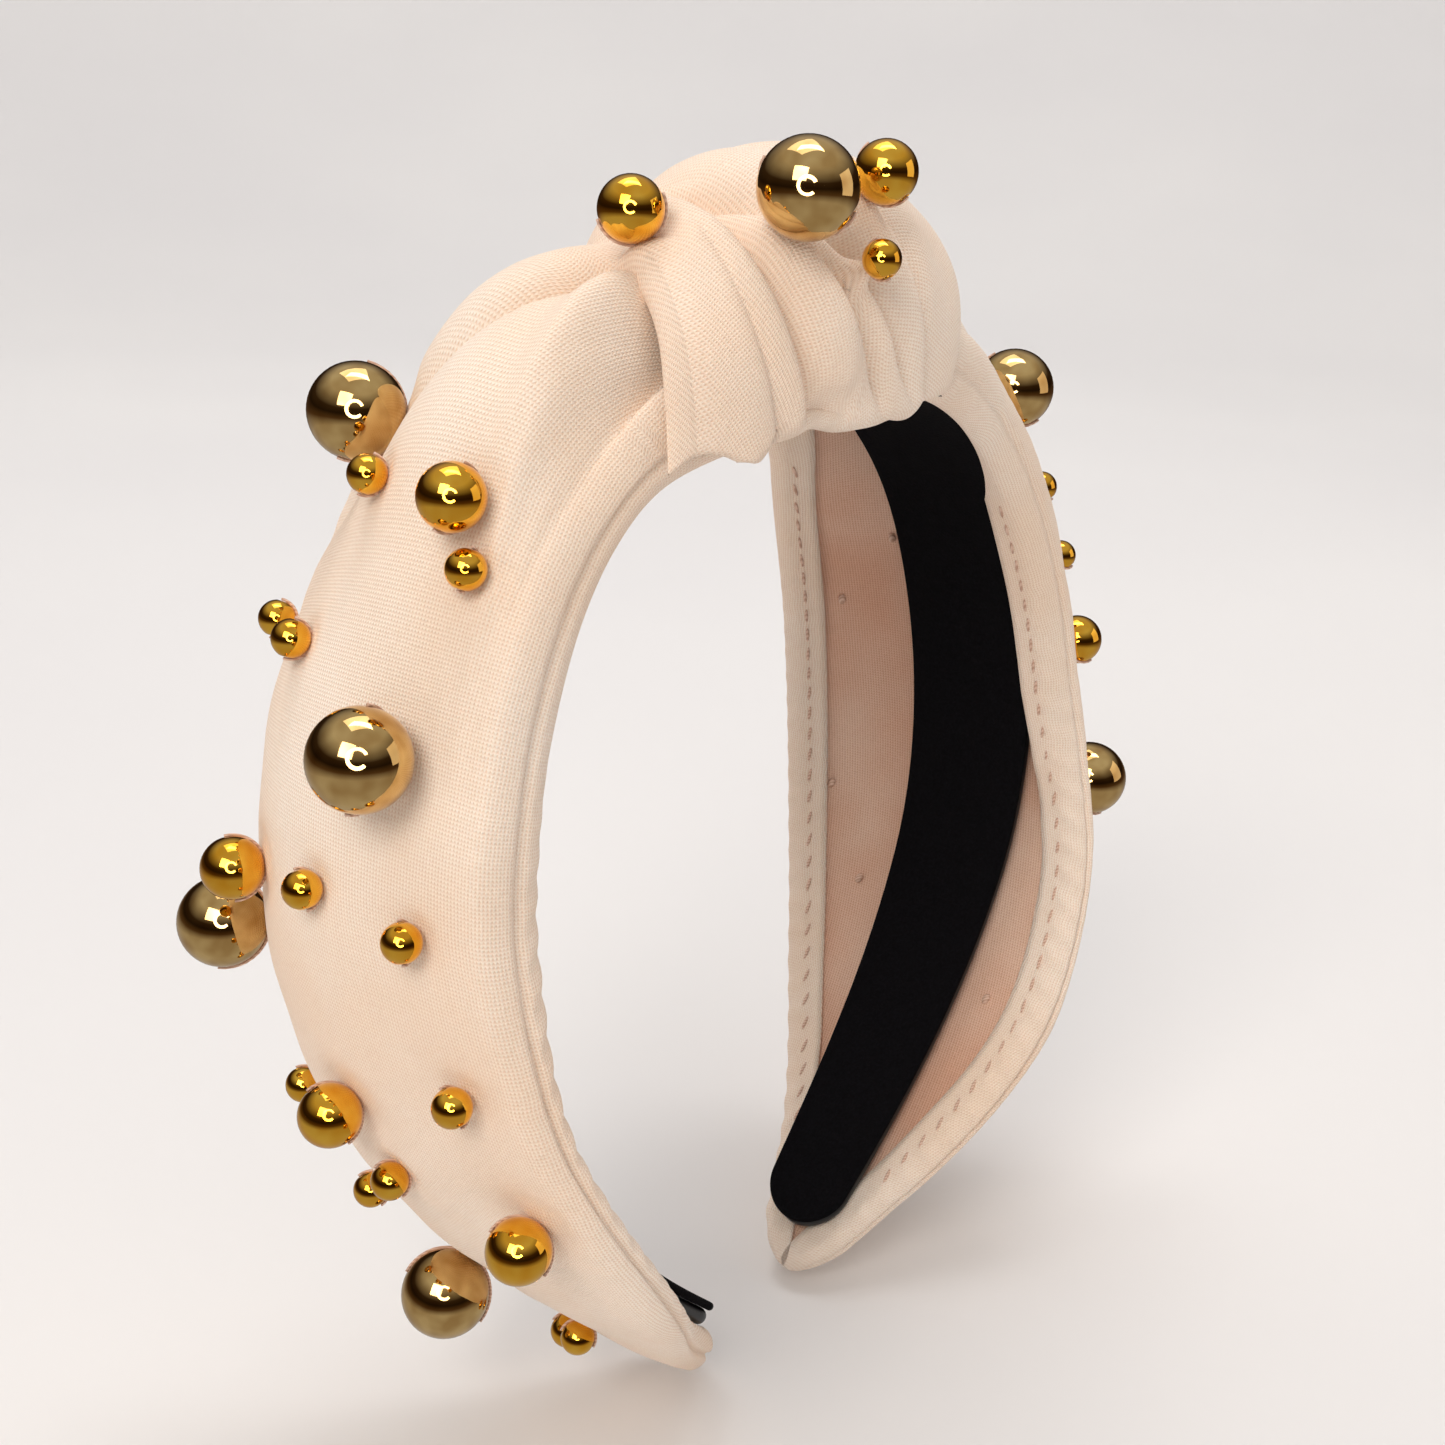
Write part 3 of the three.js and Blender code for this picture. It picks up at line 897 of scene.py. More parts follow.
@dataclass
class Wing:
    """A padded wing: a cover turned in at both edges, foam, and a backing against the strip."""

    arch: Arch
    strip: Strip
    finishes: Finishes
    side: Side
    front_edge: Stations
    back_edge: Stations
    folds: tuple[Fold, ...]
    hem_bottom: float
    tuck: float
    start: float = 13 * MM
    end: float = 177 * MM
    knot_at: float = 25 * MM
    nose: float = 7 * MM
    top: float = 8.8 * MM
    bottom: float = 3.5 * MM
    edge_radius: float = 2.6 * MM
    cloth: float = 0.8 * MM
    foam_from: float = 5.5 * MM
    foam_to: float = 7.6 * MM
    foam_inset: float = 3.2 * MM
    backing_from: float = 4.45 * MM
    backing_to: float = 5.15 * MM
    backing_inset: float = 1.7 * MM
    crown_rise: float = 1.1 * MM
    pleat_depth: float = 0.45 * MM
    pleat_pitch: float = 3.1 * MM
    pucker: float = 0.10 * MM
    seam_depth: float = 0.75 * MM
    seam_angle: float = 1.5
    cord_height: float = 0.16 * MM
    cord_pitch: float = 4.1 * MM
    strip_covered: tuple[float, float] = (78 * MM, 112 * MM)
    root_fades: tuple[float, float] = (60 * MM, 90 * MM)
    stitches_from: float = 50 * MM
    stitches_stop_before_end: float = 16 * MM
    stitch_half_sizes: tuple[float, float, float] = (1.15 * MM, 0.26 * MM, 0.2 * MM)
    thread_knot_half_sizes: tuple[float, float, float] = (0.85 * MM, 0.6 * MM, 0.5 * MM)
    flat_half_width: float = 11 * MM
    cup_radius: float = 30 * MM
    rise: float = 12 * MM
    ridge: float = 10 * MM
    ridge_half_width: float = 21 * MM
    root_start: float = 27.5 * MM
    root_length: float = 36 * MM
    stitch_pitch: float = 3.4 * MM
    rows: int = 230
    field: int = 92
    curl: int = 33

    def root_rise(self, reach: Array, back: Array) -> Array:
        """The gathered root's swelling: a squared-cosine ridge, fading along the wing and into the knot.

        Args:
            reach: distance from the crown.
            back: place to the back.

        Returns:
            How far the wing is lifted there.
        """
        share = 1 - smooth(reach, self.root_start, self.root_start + self.root_length)
        inside = 0.62 + 0.38 * smooth(reach, 0.5 * self.root_start, 1.1 * self.root_start)
        off = np.minimum(1, np.abs(back - self.ridge) / self.ridge_half_width)
        return self.rise * share * inside * np.cos(math.pi / 2 * off) ** 2

    def lay(self, reach: Array, back: Array, height: Array) -> Array:
        """Points on the wing: flat over the strip, and round an arc of 30 mm beyond its edges.

        The reach to the back is the flat half width plus (radius + height) times the sine of the turn,
        and the height falls by the radius times one less its cosine.

        Args:
            reach: distance from the crown.
            back: place to the back, measured on the cloth.
            height: off the strip's inner face.

        Returns:
            The points.
        """
        turn = np.maximum(0, np.abs(back) - self.flat_half_width) / self.cup_radius
        drop = self.cup_radius * (1 - np.cos(turn))
        flat = np.minimum(np.abs(back), self.flat_half_width)
        across = np.sign(back) * (flat + (self.cup_radius + height) * np.sin(turn))
        lifted = self.root_rise(reach, back) + height * np.cos(turn) - drop
        return self.arch.place(self.side.value * reach, across, lifted)

    @cached_property
    def along(self) -> tuple[Array, Array]:
        """Row distances and how much of the full width each has left in the rounded nose."""
        return rounded_end(self.start, self.end - self.nose, self.nose, (self.rows, 26), 0.99)

    def edges(self, reach: Array, shrink: Array) -> tuple[Array, Array]:
        """The front and back edge at each row, drawn together in the nose.

        Args:
            reach: distances from the crown.
            shrink: the share of the width left at each.

        Returns:
            Places to the back of the front edge and of the back edge.
        """
        front, back = through(self.front_edge, reach), through(self.back_edge, reach)
        middle = (front + back) / 2
        return middle + (front - middle) * shrink, middle + (back - middle) * shrink

    def sink(self, reach: Array, back: Array) -> Array:
        """How far the root's folds draw the cloth in, or lift it."""
        return sum(fold.drop(reach - self.knot_at, back) for fold in self.folds)

    def over_strip(self, reach: Array) -> Array:
        """How far the front edge still turns in over the strip: one near the knot, nothing further out."""
        return 1 - smooth(reach, *self.strip_covered)

    def relief(self, reach: Array, back: Array, front: Array, rear: Array) -> Array:
        """The cover's height off an even layer: a soft crown, the root's folds, pleats and ripples.

        The crown is a parabola from edge to edge. Fine pleats lie along the front edge near the knot, the
        ripples are slow sines that cross each other, and each stitch puckers its hem.

        Args:
            reach: distance from the crown.
            back: place to the back.
            front: the front edge at each row.
            rear: the back edge at each row.

        Returns:
            The heights.
        """
        share = np.clip((back - front) / np.maximum(rear - front, 1e-6), 0, 1)
        crown = self.crown_rise * (1 - (2 * share - 1) ** 2)
        near_knot = np.exp(-(((reach - self.knot_at) / (32 * MM)) ** 2))
        pleats = self.pleat_depth * near_knot * np.cos(math.tau * (back - front) / self.pleat_pitch)
        pleats = pleats * (1 - smooth(share, 0.05, 0.3))
        ripples = (
            0.16 * np.sin(reach * 173 + back * 91) * np.sin(back * 211 - reach * 57)
            + 0.10 * np.sin(reach * 401 - back * 263 + 1.3)
            + 0.12 * np.sin(reach * 97 + 0.7) * np.cos(back * 330 + 2.1)
        ) * MM
        stitched = np.exp(-np.minimum(back - front, rear - back) / (2.5 * MM))
        puckers = self.pucker * np.sin(math.tau * reach / self.stitch_pitch) * stitched
        return crown - self.sink(reach, back) + pleats + ripples + puckers

    def section(self, inset: float) -> tuple[Array, Array]:
        """The cover's face, or one lying inset below it, by rows and columns.

        Across each row: a flat tuck under the front edge, half an ellipse round it, the field, half an
        ellipse round the back edge and a tuck under it. Near the knot the front half ellipse is deep
        enough to turn in over the strip's edge. A groove runs along each ellipse where the seam is, and
        past it the turned edge is twisted like cord.

        Args:
            inset: distance in from the outer face.

        Returns:
            Places to the back and heights.
        """
        reach, shrink = self.along
        front, rear = self.edges(reach, shrink)
        low = self.bottom + (self.hem_bottom - self.bottom) * self.over_strip(reach)
        radius = np.minimum(self.edge_radius * shrink, (rear - front) / 2)
        half_front, half_back = (self.top - low) / 2, (self.top - self.bottom) / 2 + 0 * low
        thin = 0.35 + 0.65 * shrink
        angle = np.linspace(0, math.pi, self.curl)[1:][None]
        slip = np.linspace(0, 1, 4)[1:][None]
        twist = np.sin(math.tau * reach / self.cord_pitch + 2.2 * angle)
        cord = twist * self.cord_height * smooth(angle, 1.6, 2.0) * smooth(reach, *self.root_fades)
        seam = cord - self.seam_depth * np.exp(-(((angle - self.seam_angle) / 0.14) ** 2))
        keep = np.minimum(inset, radius * 0.8)

        def edge(line: Array, sign: float, half: Array) -> tuple[Array, Array]:
            """One edge's columns, outward from the field: its line, its side and its half height."""
            centre, lift = line - sign * radius, self.top - half
            bulge = seam * shrink * (inset < self.cloth / 2)
            back = centre + sign * (radius - keep + bulge) * np.sin(angle)
            height = lift + (half - inset + bulge) * thin * np.cos(angle)
            under = centre - sign * self.tuck * slip * shrink
            flat = lift - (half - inset) * thin + 0 * under
            return np.concatenate([back, under], 1), np.concatenate([height, flat], 1)

        front_back, front_height = edge(front, -1, half_front)
        rear_back, rear_height = edge(rear, 1, half_back)
        share = np.linspace(0, 1, self.field)[None]
        field_back = (front + radius) * (1 - share) + (rear - radius) * share
        even = (half_front * (1 - share) + half_back * share) * thin
        base = (self.top - half_front) * (1 - share) + (self.top - half_back) * share
        puff = self.relief(reach, field_back, front, rear) * shrink
        field_height = base + even - inset * thin + puff
        fade = np.clip(np.cos(np.concatenate([angle, 0 * slip + math.pi], 1)), 0, 1)
        front_height = front_height + puff[:, :1] * fade
        rear_height = rear_height + puff[:, -1:] * fade
        back = np.concatenate([front_back[:, ::-1], field_back, rear_back], 1)
        height = np.concatenate([front_height[:, ::-1], field_height, rear_height], 1)
        return back, height

    def layer(
        self, low: float, high: float, inset: float, rows: int, columns: int
    ) -> tuple[Array, Array, Array]:
        """An even inner layer between two heights, rounded off at its edges and its nose.

        Args:
            low: height of its inner face.
            high: height of its outer face.
            inset: how far its edges lie inside the wing's.
            rows: rows along the wing.
            columns: columns across it.

        Returns:
            Outer grid, inner grid and cloth coordinates.
        """
        bend = self.end - self.nose
        reach, shrink = rounded_end(self.start, bend, self.nose - inset, (rows, 16), 0.97)
        front, rear = self.edges(reach, shrink)
        share = (1 - np.cos(np.linspace(0, math.pi, columns)))[None] / 2
        back = (front + inset * shrink) * (1 - share) + (rear - inset * shrink) * share
        edge = np.sqrt(np.clip(1 - np.abs(2 * share - 1) ** 14, 0, 1)) * shrink**0.4
        middle, half = (low + high) / 2, (high - low) / 2
        waves = 0.10 * MM * np.sin(reach * 240 + back * 130) * np.sin(back * 310)
        waves = waves - np.maximum(self.sink(reach, back), 0) * (1 - smooth(reach, *self.root_fades))
        outer = self.lay(reach, back, middle + half * edge + waves)
        inner = self.lay(reach, back, middle - half * edge + waves)
        return outer, inner, grid_uv(outer, reach)

    def bend_over(self, piece: bpy.types.Object) -> None:
        """Bakes a piece's placement into its mesh, through the strip."""
        self.strip.bend_over(piece, self.side)

    def make_cover(self, beads: list[Bead]) -> None:
        """Makes the cover, laid against its beads, and turns each bead to its cloth.

        Args:
            beads: the beads of this wing; each is told where its foot is.
        """
        reach, _ = self.along
        outer = self.lay(reach, *self.section(0.0))
        inner = self.lay(reach, *self.section(self.cloth))
        for bead in beads:
            foot = nearest(outer, bead.middle)
            bead.face(bead.middle - outer[foot], MAIN_VIEW)
            bead.foot = (float(reach[foot[0], 0]), float(self.section(0.0)[0][foot]))
            seated = bead.seat(outer)
            inner = inner + (seated - outer) * 0.6
            outer = seated
        label = self.side.label
        cover = shell(f"knit_cover_{label}", outer, inner, grid_uv(outer, reach))
        dress(cover, self.finishes.knit, Part.KNIT, f"wing_cover_{label}", f"knot_gather_{label}")
        self.bend_over(cover)

    def make_lining(self) -> None:
        """Makes the foam and the backing under the cover."""
        label = self.side.label
        grids = self.layer(self.foam_from, self.foam_to, self.foam_inset, 90, 30)
        foam = shell(f"foam_pad_{label}", *grids)
        dress(foam, self.finishes.foam, Part.FOAM, f"wing_foam_{label}")
        self.bend_over(foam)
        grids = self.layer(self.backing_from, self.backing_to, self.backing_inset, 170, 56)
        backing = shell(f"knit_backing_{label}", *grids)
        dress(backing, self.finishes.backing, Part.BACKING, f"wing_backing_{label}")
        self.bend_over(backing)

    def make_stitches(self, beads: list[Bead]) -> None:
        """Makes the hem's running stitches on the inner face, and the thread knots behind the beads.

        A stitch lies every 3.4 mm on each hem, and a knot behind each bead that the strip doesn't hide.

        Args:
            beads: the beads of this wing, with their feet known.
        """
        lumps = []
        up_to = self.end - self.stitches_stop_before_end
        for reach in np.arange(self.stitches_from, up_to, self.stitch_pitch):
            at, full = np.array([[reach]]), np.ones((1, 1))
            front, rear = (float(e[0, 0]) for e in self.edges(at, full))
            for back in (front + self.edge_radius + 0.6 * MM, rear - self.edge_radius - 0.6 * MM):
                over = float(self.over_strip(np.array(reach))) if back < 0 else 0.0
                height = self.bottom + (self.hem_bottom - self.bottom) * over - 0.05 * MM
                here = self.lay(np.array(reach), np.array(back), np.array(height))
                ahead = self.lay(np.array(reach + MM), np.array(back), np.array(height))
                below = self.lay(np.array(reach), np.array(back), np.array(height - MM))
                way, down = unit(ahead - here), unit(below - here)
                lumps.append(pill(here, way, down, self.stitch_half_sizes))
        for bead in beads:
            reach, back = bead.foot
            if abs(back) < float(self.strip.half_width(np.array(reach))) + 2.5 * MM:
                continue
            here = self.lay(np.array(reach), np.array(back), np.array(4.3 * MM))
            below = self.lay(np.array(reach), np.array(back), np.array(3.3 * MM))
            down = unit(below - here)
            way = unit(np.cross(down, np.array([0.3, 1.0, 0.2])))
            lumps.append(pill(here, way, down, self.thread_knot_half_sizes))
        stitches = join(f"hem_stitches_{self.side.label}", lumps)
        dress(stitches, self.finishes.thread, Part.KNIT)
        self.bend_over(stitches)


# ---------------------------------------------------------------- the knot


@dataclass(frozen=True)
class Pleat:
    """A pleat over the knot: its place along the arch at a lean of -60 degrees, and its slant."""

    at: float
    slant: float
    depth: float
    width: float
    first: float
    last: float

    def drop(self, distance: Array, lean: Array) -> Array:
        """How far the cloth sinks: depth times exp(-|distance off the pleat| / width), between two leans.

        The width is under half on the left of the line, where one fold laps over the next.

        Args:
            distance: along the arch.
            lean: degrees from upright, negative to the front.

        Returns:
            The depths.
        """
        off = (distance - (self.at + self.slant * (lean + 60)) * MM) / (self.width * MM)
        fade = smooth(lean, self.first - 14, self.first + 14)
        fade = fade * (1 - smooth(lean, self.last - 18, self.last + 18))
        return self.depth * MM * fade * np.exp(np.where(off < 0, off * 2.4, -off * 0.65))


@dataclass
class Knot:
    """The turban knot: a thick pleated wrap over a padded core, riding on the crown."""

    arch: Arch
    finishes: Finishes
    pleats: tuple[Pleat, ...]
    half_width: float = 20.5 * MM
    height: float = 27.5 * MM
    base: float = 3.9 * MM
    back_shift: float = 5 * MM
    middle_left: float = -22.5 * MM
    left_sweep: float = 12 * MM
    left_sweep_back: float = 4 * MM
    middle_right: float = 20.5 * MM
    right_sweep: float = 4.5 * MM
    end_scale: float = 0.70
    end_power: float = 2.6
    front_end_scales: tuple[float, float] = (0.68, 0.84)
    thickness: float = 3.6 * MM
    thin_at_hem: float = 1.7 * MM
    drop_at_front: float = 5.0 * MM
    drop_at_back: float = 4.0 * MM
    hem_radius: float = 2.1 * MM
    rows: int = 190
    columns: int = 230
    roll: float = 0.10
    core_half_length: float = 17 * MM
    pinch_depth: float = 3.0 * MM
    pinch_at: tuple[float, float] = (-14 * MM, -104)
    pinch_widths: tuple[float, float] = (4 * MM, 13)

    def outline(self, place: Array, lean: Array) -> tuple[Array, Array, Array]:
        """Distance along, place to the back and height of the wrap's outer face without its pleats.

        The half widths and the height shrink towards each end by the place to the power 2.6. Past a
        lean of 90 degrees the cloth runs straight down and then curls in by half a circle.

        Args:
            place: from -1 at the left end to 1 at the right.
            lean: degrees from upright, negative to the front.

        Returns:
            Distance, back and height, all in metres.
        """
        sweep = np.tanh(lean / 75)
        flare = -self.left_sweep * np.clip(-lean / 78, 0, 2) ** 1.4
        left = self.middle_left + np.where(lean < 0, flare, self.left_sweep_back * sweep)
        right = self.middle_right + self.right_sweep * sweep
        distance = left + (right - left) * (place + 1) / 2
        shrink = np.abs(place) ** self.end_power
        rise = 1 + (self.end_scale - 1) * shrink
        ends = np.where(lean < 0, np.where(place < 0, *self.front_end_scales), self.end_scale)
        wide = 1 + (ends - 1) * shrink
        turn = np.radians(np.clip(lean, -90, 90))
        past = np.maximum(0, np.abs(lean) - 90) / 40
        rising = (1 - smooth(-place, -0.25, 0.45)) * (1 - 0.6 * smooth(place, 0.5, 1.0))
        run = np.where(lean < 0, self.drop_at_front * rising, self.drop_at_back)
        walked = past * (run + math.pi * self.hem_radius)
        curl = np.clip((walked - run) / self.hem_radius, 0, math.pi)
        down = np.minimum(walked, run) + self.hem_radius * np.sin(curl)
        inward = self.hem_radius * (1 - np.cos(curl))
        back = self.back_shift + self.half_width * wide * np.sin(turn) - np.sign(lean) * inward
        height = self.base + (self.height - self.base) * rise * np.cos(turn) - down
        return distance, back, height

    def wrap(self, beads: list[Bead]) -> None:
        """Makes the wrap: the outer face with its pleats, and an inner face a padded thickness below it.

        Both faces draw together by a quarter circle at the ends and hems, so that the edges are round.

        Args:
            beads: the knot's beads; the wrap is laid against them.
        """
        spread = np.sin(np.linspace(-math.pi / 2, math.pi / 2, self.rows)) * 0.35
        place = (spread + np.linspace(-1, 1, self.rows) * 0.65)[:, None]
        walk = np.linspace(-1, 1, self.columns)[None]
        short = np.where(walk < 0, 1 - 0.38 * smooth(-place, 0.1, 0.95), 1.0)
        lean = 130 * walk * short
        distance, back, height = self.outline(place, lean)
        smooth_face = self.arch.place(distance, back, height)
        normals = grid_normals(smooth_face)
        sink = sum(pleat.drop(distance, lean) for pleat in self.pleats)
        off_along = (distance - self.pinch_at[0]) / self.pinch_widths[0]
        off_lean = (lean - self.pinch_at[1]) / self.pinch_widths[1]
        pinch = self.pinch_depth * np.exp(-(off_along**2) - off_lean**2)
        ripples = (
            0.22 * np.sin(distance * 420 + lean * 0.05) * np.sin(lean * 0.045 + 0.8)
            + 0.15 * np.sin(distance * 790 - lean * 0.035 + 1.1)
        ) * MM
        face = smooth_face - normals * (sink + pinch - ripples)[..., None]
        for bead in beads:
            bead.face(bead.middle - face[nearest(face, bead.middle)], MAIN_VIEW)
            face = bead.seat(face)
        normals = grid_normals(face)
        flat = np.abs(walk)
        thick = self.thickness + (self.thin_at_hem - self.thickness) * smooth(flat, 0.45, 0.75)
        end_roll = np.clip((np.abs(place) - (1 - self.roll)) / self.roll, 0, 1)
        hem_roll = np.clip((flat - 0.97) / 0.03, 0, 1)
        sag = 1 - np.sqrt(np.clip(1 - np.maximum(end_roll, hem_roll) ** 2, 0, 1))
        outer = face - normals * (thick / 2 * sag)[..., None]
        inner = face - normals * (thick - thick / 2 * sag)[..., None]
        wrap = shell("knot_wrap_knit", outer, inner, grid_uv(face, distance))
        dress(wrap, self.finishes.knit, Part.KNIT, "knot_wrap")
        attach(wrap, "crown")

    def core(self) -> None:
        """Makes the padded core: a flat-bottomed dome that fills the wrap, drawn in at both ends."""
        place = np.sin(np.linspace(-math.pi / 2 * 0.98, math.pi / 2 * 0.98, 60))[:, None]
        around = full_turn(72)[None]
        swell = np.sqrt(1 - place**2 * 0.98) ** 0.5
        half, tall = self.half_width - self.thickness, self.height - self.base - self.thickness
        back = self.back_shift + half * 0.92 * swell * np.cos(around)
        up = np.sin(around)
        height = self.base + 0.2 * MM + tall * 0.9 * swell * np.where(up > 0, up, 0.02 * up)
        distance = place * self.core_half_length
        rows = self.arch.place(distance, back, height)
        uv = np.stack(np.broadcast_arrays(around * half, distance), -1)
        core = build("knot_core_knit", *tube(rows, uv))
        dress(core, self.finishes.knit, Part.KNIT, "knot_core")
        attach(core, "crown")


# ---------------------------------------------------------------- the headband


class Headband:
    """The whole headband, built in the order that it is put together."""

    left_front: Stations = (
        (12, -12), (20, -11), (27, -8.4), (34, -6.2), (42, -5.3), (50, -5.2), (63, -6.3), (74, -7.9),
        (82, -8.9), (91, -11.2), (106, -14.9), (112, -16.6), (130, -18.8), (155, -12.5), (177, -4),
    )
    left_back: Stations = (
        (12, 12), (20, 15), (27, 22), (34, 29), (50, 37), (80, 39), (110, 34), (130, 28), (155, 16),
        (177, 5),
    )
    right_front: Stations = (
        (12, -11.4), (20, -11), (27, -10.4), (34, -10), (50, -10.4), (63, -11.4), (80, -13.4), (110, -20),
        (130, -21), (155, -14), (177, -4.5),
    )
    right_back: Stations = (
        (12, 12), (20, 14), (27, 19), (34, 25), (50, 30), (80, 32), (110, 28), (130, 22), (155, 12),
        (177, 4.5),
    )
    left_folds: tuple[Fold, ...] = (
        Fold(7.2, 1.1, 4.4, 1.8, 18), Fold(2.2, -0.06, -4.4, 2.8, 24), Fold(-2.9, 0.02, 4.4, 0.9, 21),
        Fold(17, 0.9, -3.0, 9.0, 24),
    )
    right_folds: tuple[Fold, ...] = (
        Fold(3.0, 0.7, 2.6, 1.6, 15), Fold(-3.0, -0.25, 1.6, 1.2, 14), Fold(13, 0.9, 2.0, 1.6, 16),
    )
    pleats: tuple[Pleat, ...] = (
        Pleat(-20.6, 0.088, 1.3, 1.6, -104, -20), Pleat(-16.2, 0.045, 4.3, 1.7, -100, 10),
        Pleat(-8.6, -0.080, 3.8, 1.7, -102, -4), Pleat(-4.6, -0.15, 2.8, 1.4, -102, -46),
        Pleat(3.2, -0.09, 1.7, 1.6, -104, 20), Pleat(-17, -0.05, 2.4, 1.7, -12, 70),
        Pleat(-9, -0.03, 2.2, 1.8, 8, 104), Pleat(1, 0.02, 2.4, 2.0, 14, 108),
        Pleat(9, 0.03, 1.8, 1.6, 20, 100),
    )

    def __init__(self) -> None:
        """Settles the finishes, the arch and the sub-assemblies."""
        self.finishes = Finishes.make()
        self.arch = Arch()
        self.strip = Strip(self.arch, self.finishes)
        self.knot = Knot(self.arch, self.finishes, self.pleats)
        shared = (self.arch, self.strip, self.finishes)
        left = (Side.LEFT, self.left_front, self.left_back, self.left_folds)
        right = (Side.RIGHT, self.right_front, self.right_back, self.right_folds)
        self.wings = (
            Wing(*shared, *left, hem_bottom=-0.4 * MM, tuck=1.6 * MM),
            Wing(*shared, *right, hem_bottom=-0.95 * MM, tuck=3.2 * MM),
        )

    def beads_of(self, where: str) -> list[Bead]:
        """The beads of the knot or of an arm, by their CAD nodes' names."""
        return [Bead(node) for node in sorted(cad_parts) if node.startswith(f"bead_{where}_")]

    def string(self, beads: list[Bead], where: str, body: str) -> None:
        """Makes each ball, and the threads that hold them.

        Args:
            beads: the beads, turned to their cloth.
            where: what they are sewn on, as their names say it.
            body: the CAD body that they ride on.
        """
        for bead in beads:
            ball = bead.ball()
            large = bead.node.endswith("large")
            metal = self.finishes.champagne if large else self.finishes.gold
            dress(ball, metal, Part.CHAMPAGNE if large else Part.GOLD, bead.node)
            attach(ball, body)
        threads = join(f"bead_threads_{where}", [bead.stitch() for bead in beads])
        dress(threads, self.finishes.thread, Part.KNIT)
        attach(threads, body)

    def make(self) -> None:
        """Builds strip, wings, knot and beads."""
        for wing in self.wings:
            self.strip.make(wing.side)
            beads = self.beads_of(wing.side.label)
            wing.make_cover(beads)
            wing.make_lining()
            wing.make_stitches(beads)
            self.string(beads, wing.side.label, wing.side.body)
        beads = self.beads_of("knot")
        self.knot.wrap(beads)
        self.knot.core()
        self.string(beads, "knot", "crown")


# ---------------------------------------------------------------- the studio


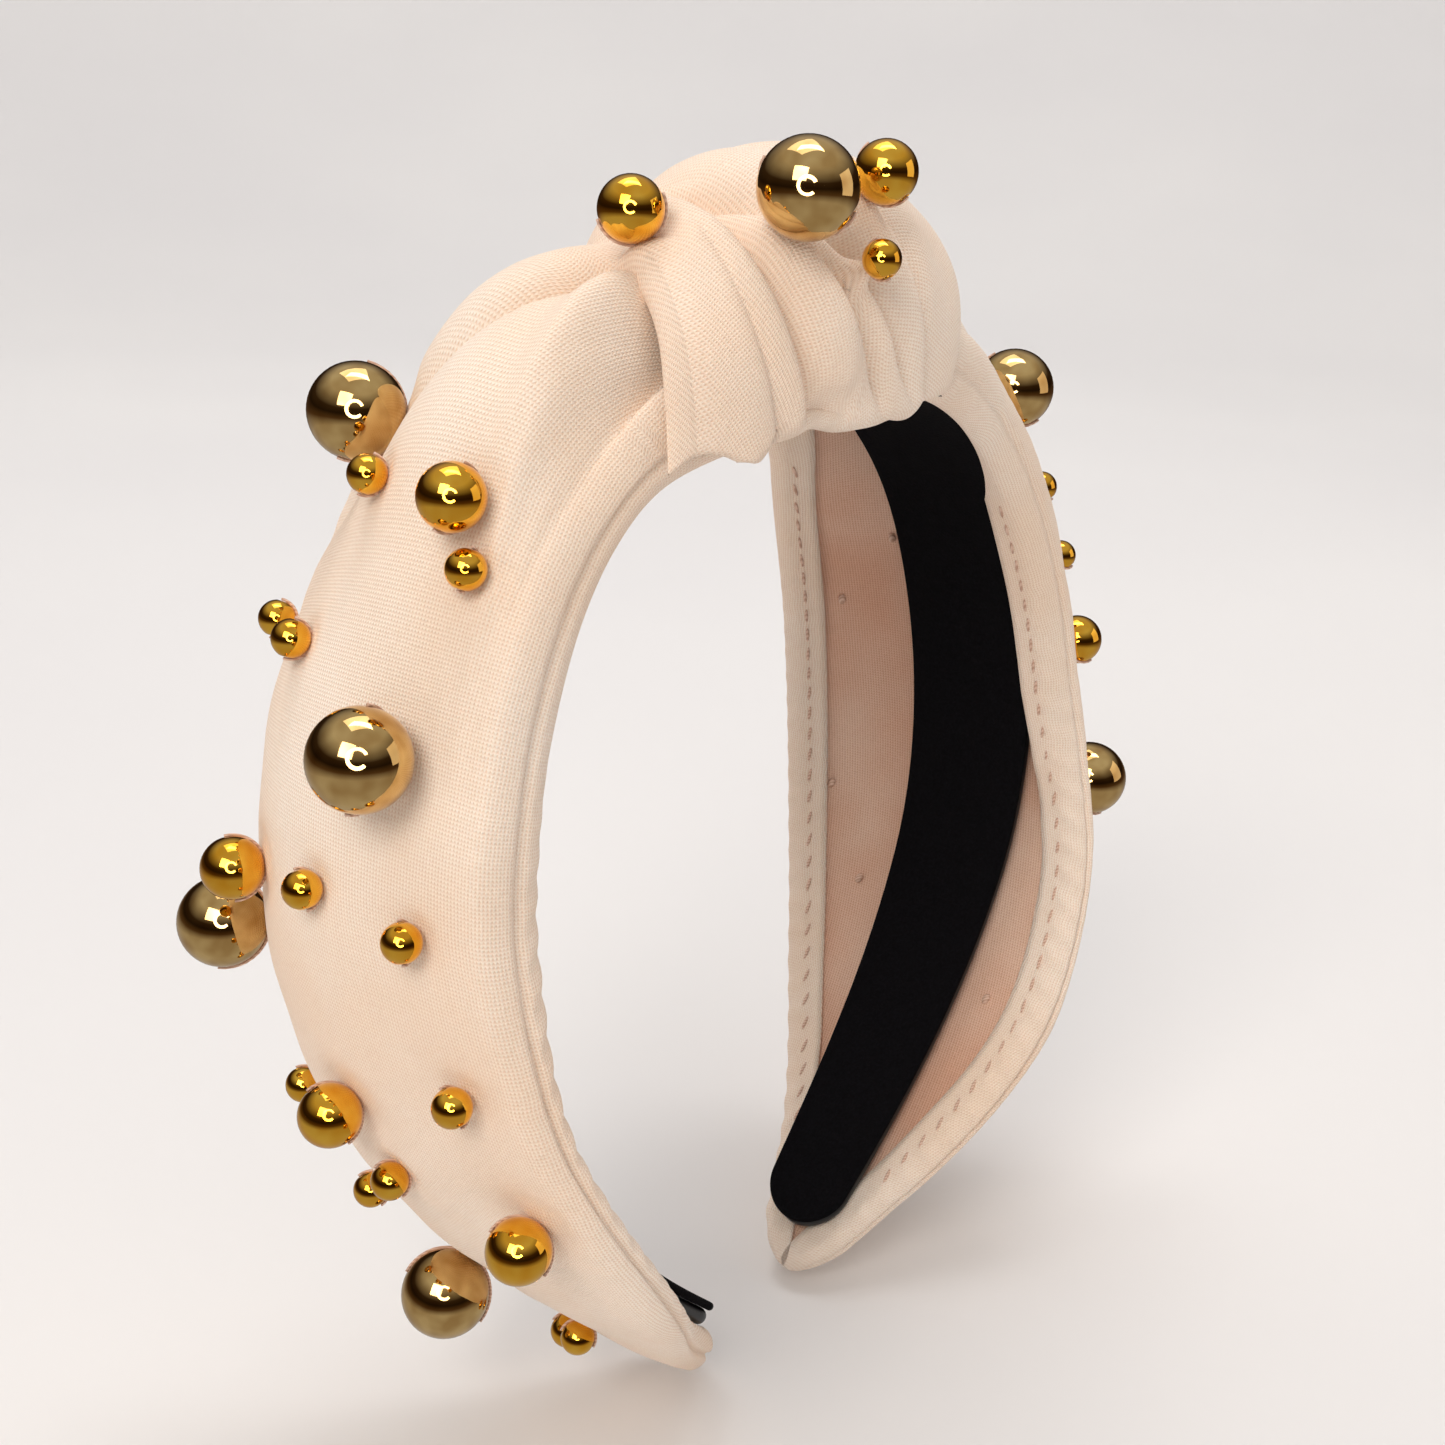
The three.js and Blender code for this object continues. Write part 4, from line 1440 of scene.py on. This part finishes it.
@dataclass
class Studio:
    """A pale bowl-shaped backdrop, soft lights and the camera.

    The azimuth turns the camera from looking along +Y towards +X. The focal length is in millimetres, on a
    sensor 36 mm wide.
    """

    floor_radius: float = 1.0
    bowl_radius: float = 2.3
    bowl_height: float = 2.8
    bowl_sides: int = 96
    camera_place: tuple[float, float, float] = (-0.1934, -0.1279, 0.0353)
    azimuth: float = math.radians(54.8)
    down: float = math.radians(19.04)
    camera_roll: float = math.radians(3.11)
    focal_length: float = 47.3
    ring_half_sizes: tuple[float, float] = (0.064, 0.096)
    ring_steps: int = 60

    def backdrop(self, level: float) -> None:
        """Makes a floor that rises into a wall all round: flat, then a quarter circle, then upright.

        Args:
            level: the floor's height.
        """
        bend = self.bowl_radius - self.floor_radius
        angle = np.linspace(0, math.pi / 2, 24)
        rising = self.floor_radius + bend * np.sin(angle)
        radius = np.concatenate([[1e-6, 0.2, 0.5], rising, [self.bowl_radius]])
        height = np.concatenate([[0, 0, 0], bend * (1 - np.cos(angle)), [self.bowl_height]])
        around = full_turn(self.bowl_sides)[None]
        rows = np.stack(np.broadcast_arrays(
            radius[:, None] * np.cos(around), radius[:, None] * np.sin(around), level + height[:, None]
        ), axis=-1)
        mesh = bpy.data.meshes.new("backdrop")
        faces = quads(len(rows), self.bowl_sides, closed=True)
        mesh.from_pydata(rows.reshape(-1, 3).tolist(), [], faces.tolist())
        mesh.shade_smooth()
        floor = bpy.data.objects.new("backdrop", mesh)
        bpy.context.scene.collection.objects.link(floor)
        mesh.materials.append(PaintedCard().make())
        floor.visible_glossy = False

    def lamp(self, name: str, where: tuple[float, float, float], aim: Vector, power: float, size: float,
             tint: str) -> None:
        """Hangs a soft square light that the camera doesn't see.

        Args:
            name: the light's name.
            where: its place.
            aim: the point that it shines at.
            power: in watts.
            size: the square's side.
            tint: its sRGB hex colour.
        """
        data = bpy.data.lights.new(name, "AREA")
        data.energy, data.size, data.color = power, size, linear(tint)[:3]
        lamp = bpy.data.objects.new(name, data)
        lamp.location = where
        lamp.rotation_euler = (aim - Vector(where)).to_track_quat("-Z", "Y").to_euler()
        lamp.visible_camera = False
        bpy.context.scene.collection.objects.link(lamp)

    def view_axes(self) -> tuple[Vector, Vector, Vector]:
        """The camera's forward, right and up directions, before its roll."""
        level = math.cos(self.down)
        ahead = (math.sin(self.azimuth) * level, math.cos(self.azimuth) * level, -math.sin(self.down))
        forward = Vector(ahead)
        right = Vector((math.cos(self.azimuth), -math.sin(self.azimuth), 0))
        return forward, right, right.cross(forward)

    def ring_lamp(self) -> None:
        """Hangs a C-shaped lamp by the camera, just behind and above it, for glossy surfaces to mirror."""
        forward, right, up = (np.array(axis) for axis in self.view_axes())
        middle = np.array(self.camera_place) - 0.02 * forward - 0.012 * right + 0.012 * up
        turn = np.linspace(math.radians(28), math.radians(318), self.ring_steps)[:, None, None]
        half_sizes = np.array(self.ring_half_sizes)[None, :, None]
        ring = middle + (np.cos(turn) * right + np.sin(turn) * up) * half_sizes
        mesh = bpy.data.meshes.new("ring_lamp")
        mesh.from_pydata(ring.reshape(-1, 3).tolist(), [], quads(self.ring_steps, 2).tolist())
        lamp = bpy.data.objects.new("ring_lamp", mesh)
        bpy.context.scene.collection.objects.link(lamp)
        glow = Shader("white_led_diffuser_opal")
        glow.feed(glow.principled, {"Emission Color": linear("#FFFDF8"), "Emission Strength": 9.0})
        mesh.materials.append(glow.material)
        lamp.visible_camera = lamp.visible_diffuse = lamp.visible_shadow = False

    def surroundings(self) -> None:
        """Gives the world a bright ceiling over a dark warm room, which the plated beads mirror."""
        world = bpy.data.worlds.new("room")
        bpy.context.scene.world = world
        world.use_nodes = True
        room = Nodes(world.node_tree)
        place = room.add("TexCoord").outputs["Generated"]
        split = room.add("SeparateXYZ", None, {0: place})
        spread = room.add("MapRange", None, {"Value": split.outputs["Z"], "From Min": -1.0})
        tone = room.ramp(spread.outputs[0], (
            (0.0, "#F0EEED"), (0.30, "#E4DFDB"), (0.42, "#6E563F"), (0.52, "#33261A"), (0.62, "#4A3A2C"),
            (0.74, "#B5AFA8"), (0.86, "#FFFFFF"),
        ))
        room.feed(world.node_tree.nodes["Background"], {"Color": tone, "Strength": 0.55})

    def camera(self) -> None:
        """Places the camera low to the left of the front, looking down on the near wing and the knot."""
        forward, right, up = self.view_axes()
        cosine, sine = math.cos(self.camera_roll), math.sin(self.camera_roll)
        across, over = right * cosine + up * sine, up * cosine - right * sine
        data = bpy.data.cameras.new("camera")
        data.sensor_width, data.lens, data.clip_start = 36.0, self.focal_length, 0.005
        camera = bpy.data.objects.new("camera", data)
        turned = Matrix((across, over, -forward)).transposed().to_4x4()
        camera.matrix_world = Matrix.Translation(self.camera_place) @ turned
        bpy.context.scene.collection.objects.link(camera)
        bpy.context.scene.camera = camera

    def make(self) -> None:
        """Sets the stage under and round the headband."""
        low, high = CAD_BOX
        middle = (low + high) / 2
        self.camera()
        self.surroundings()
        self.backdrop(low.z - 1.0 * MM)
        self.lamp("key_softbox", (-0.85, -0.18, 0.58), middle, 5.6, 0.55, "#FFF8F0")
        self.lamp("top_softbox", (0.10, 0.20, 0.85), middle, 1.7, 0.6, "#FFFFFF")
        self.lamp("fill_softbox", (0.5, -0.6, 0.15), middle, 0.7, 0.5, "#FFF3E8")
        self.lamp("wall_softbox", (0.3, 0.2, 1.7), Vector((1.8, 1.25, 0.5)), 17.0, 1.0, "#FFFDFB")
        self.ring_lamp()
        settings = bpy.context.scene.view_settings
        settings.view_transform, settings.look, settings.exposure = "Standard", "None", 0.0


def main() -> None:
    """Builds the headband and its stage."""
    logging.basicConfig(level=logging.INFO, format="%(name)s: %(message)s")
    Studio().make()
    Headband().make()


if __name__ == "__main__":
    main()
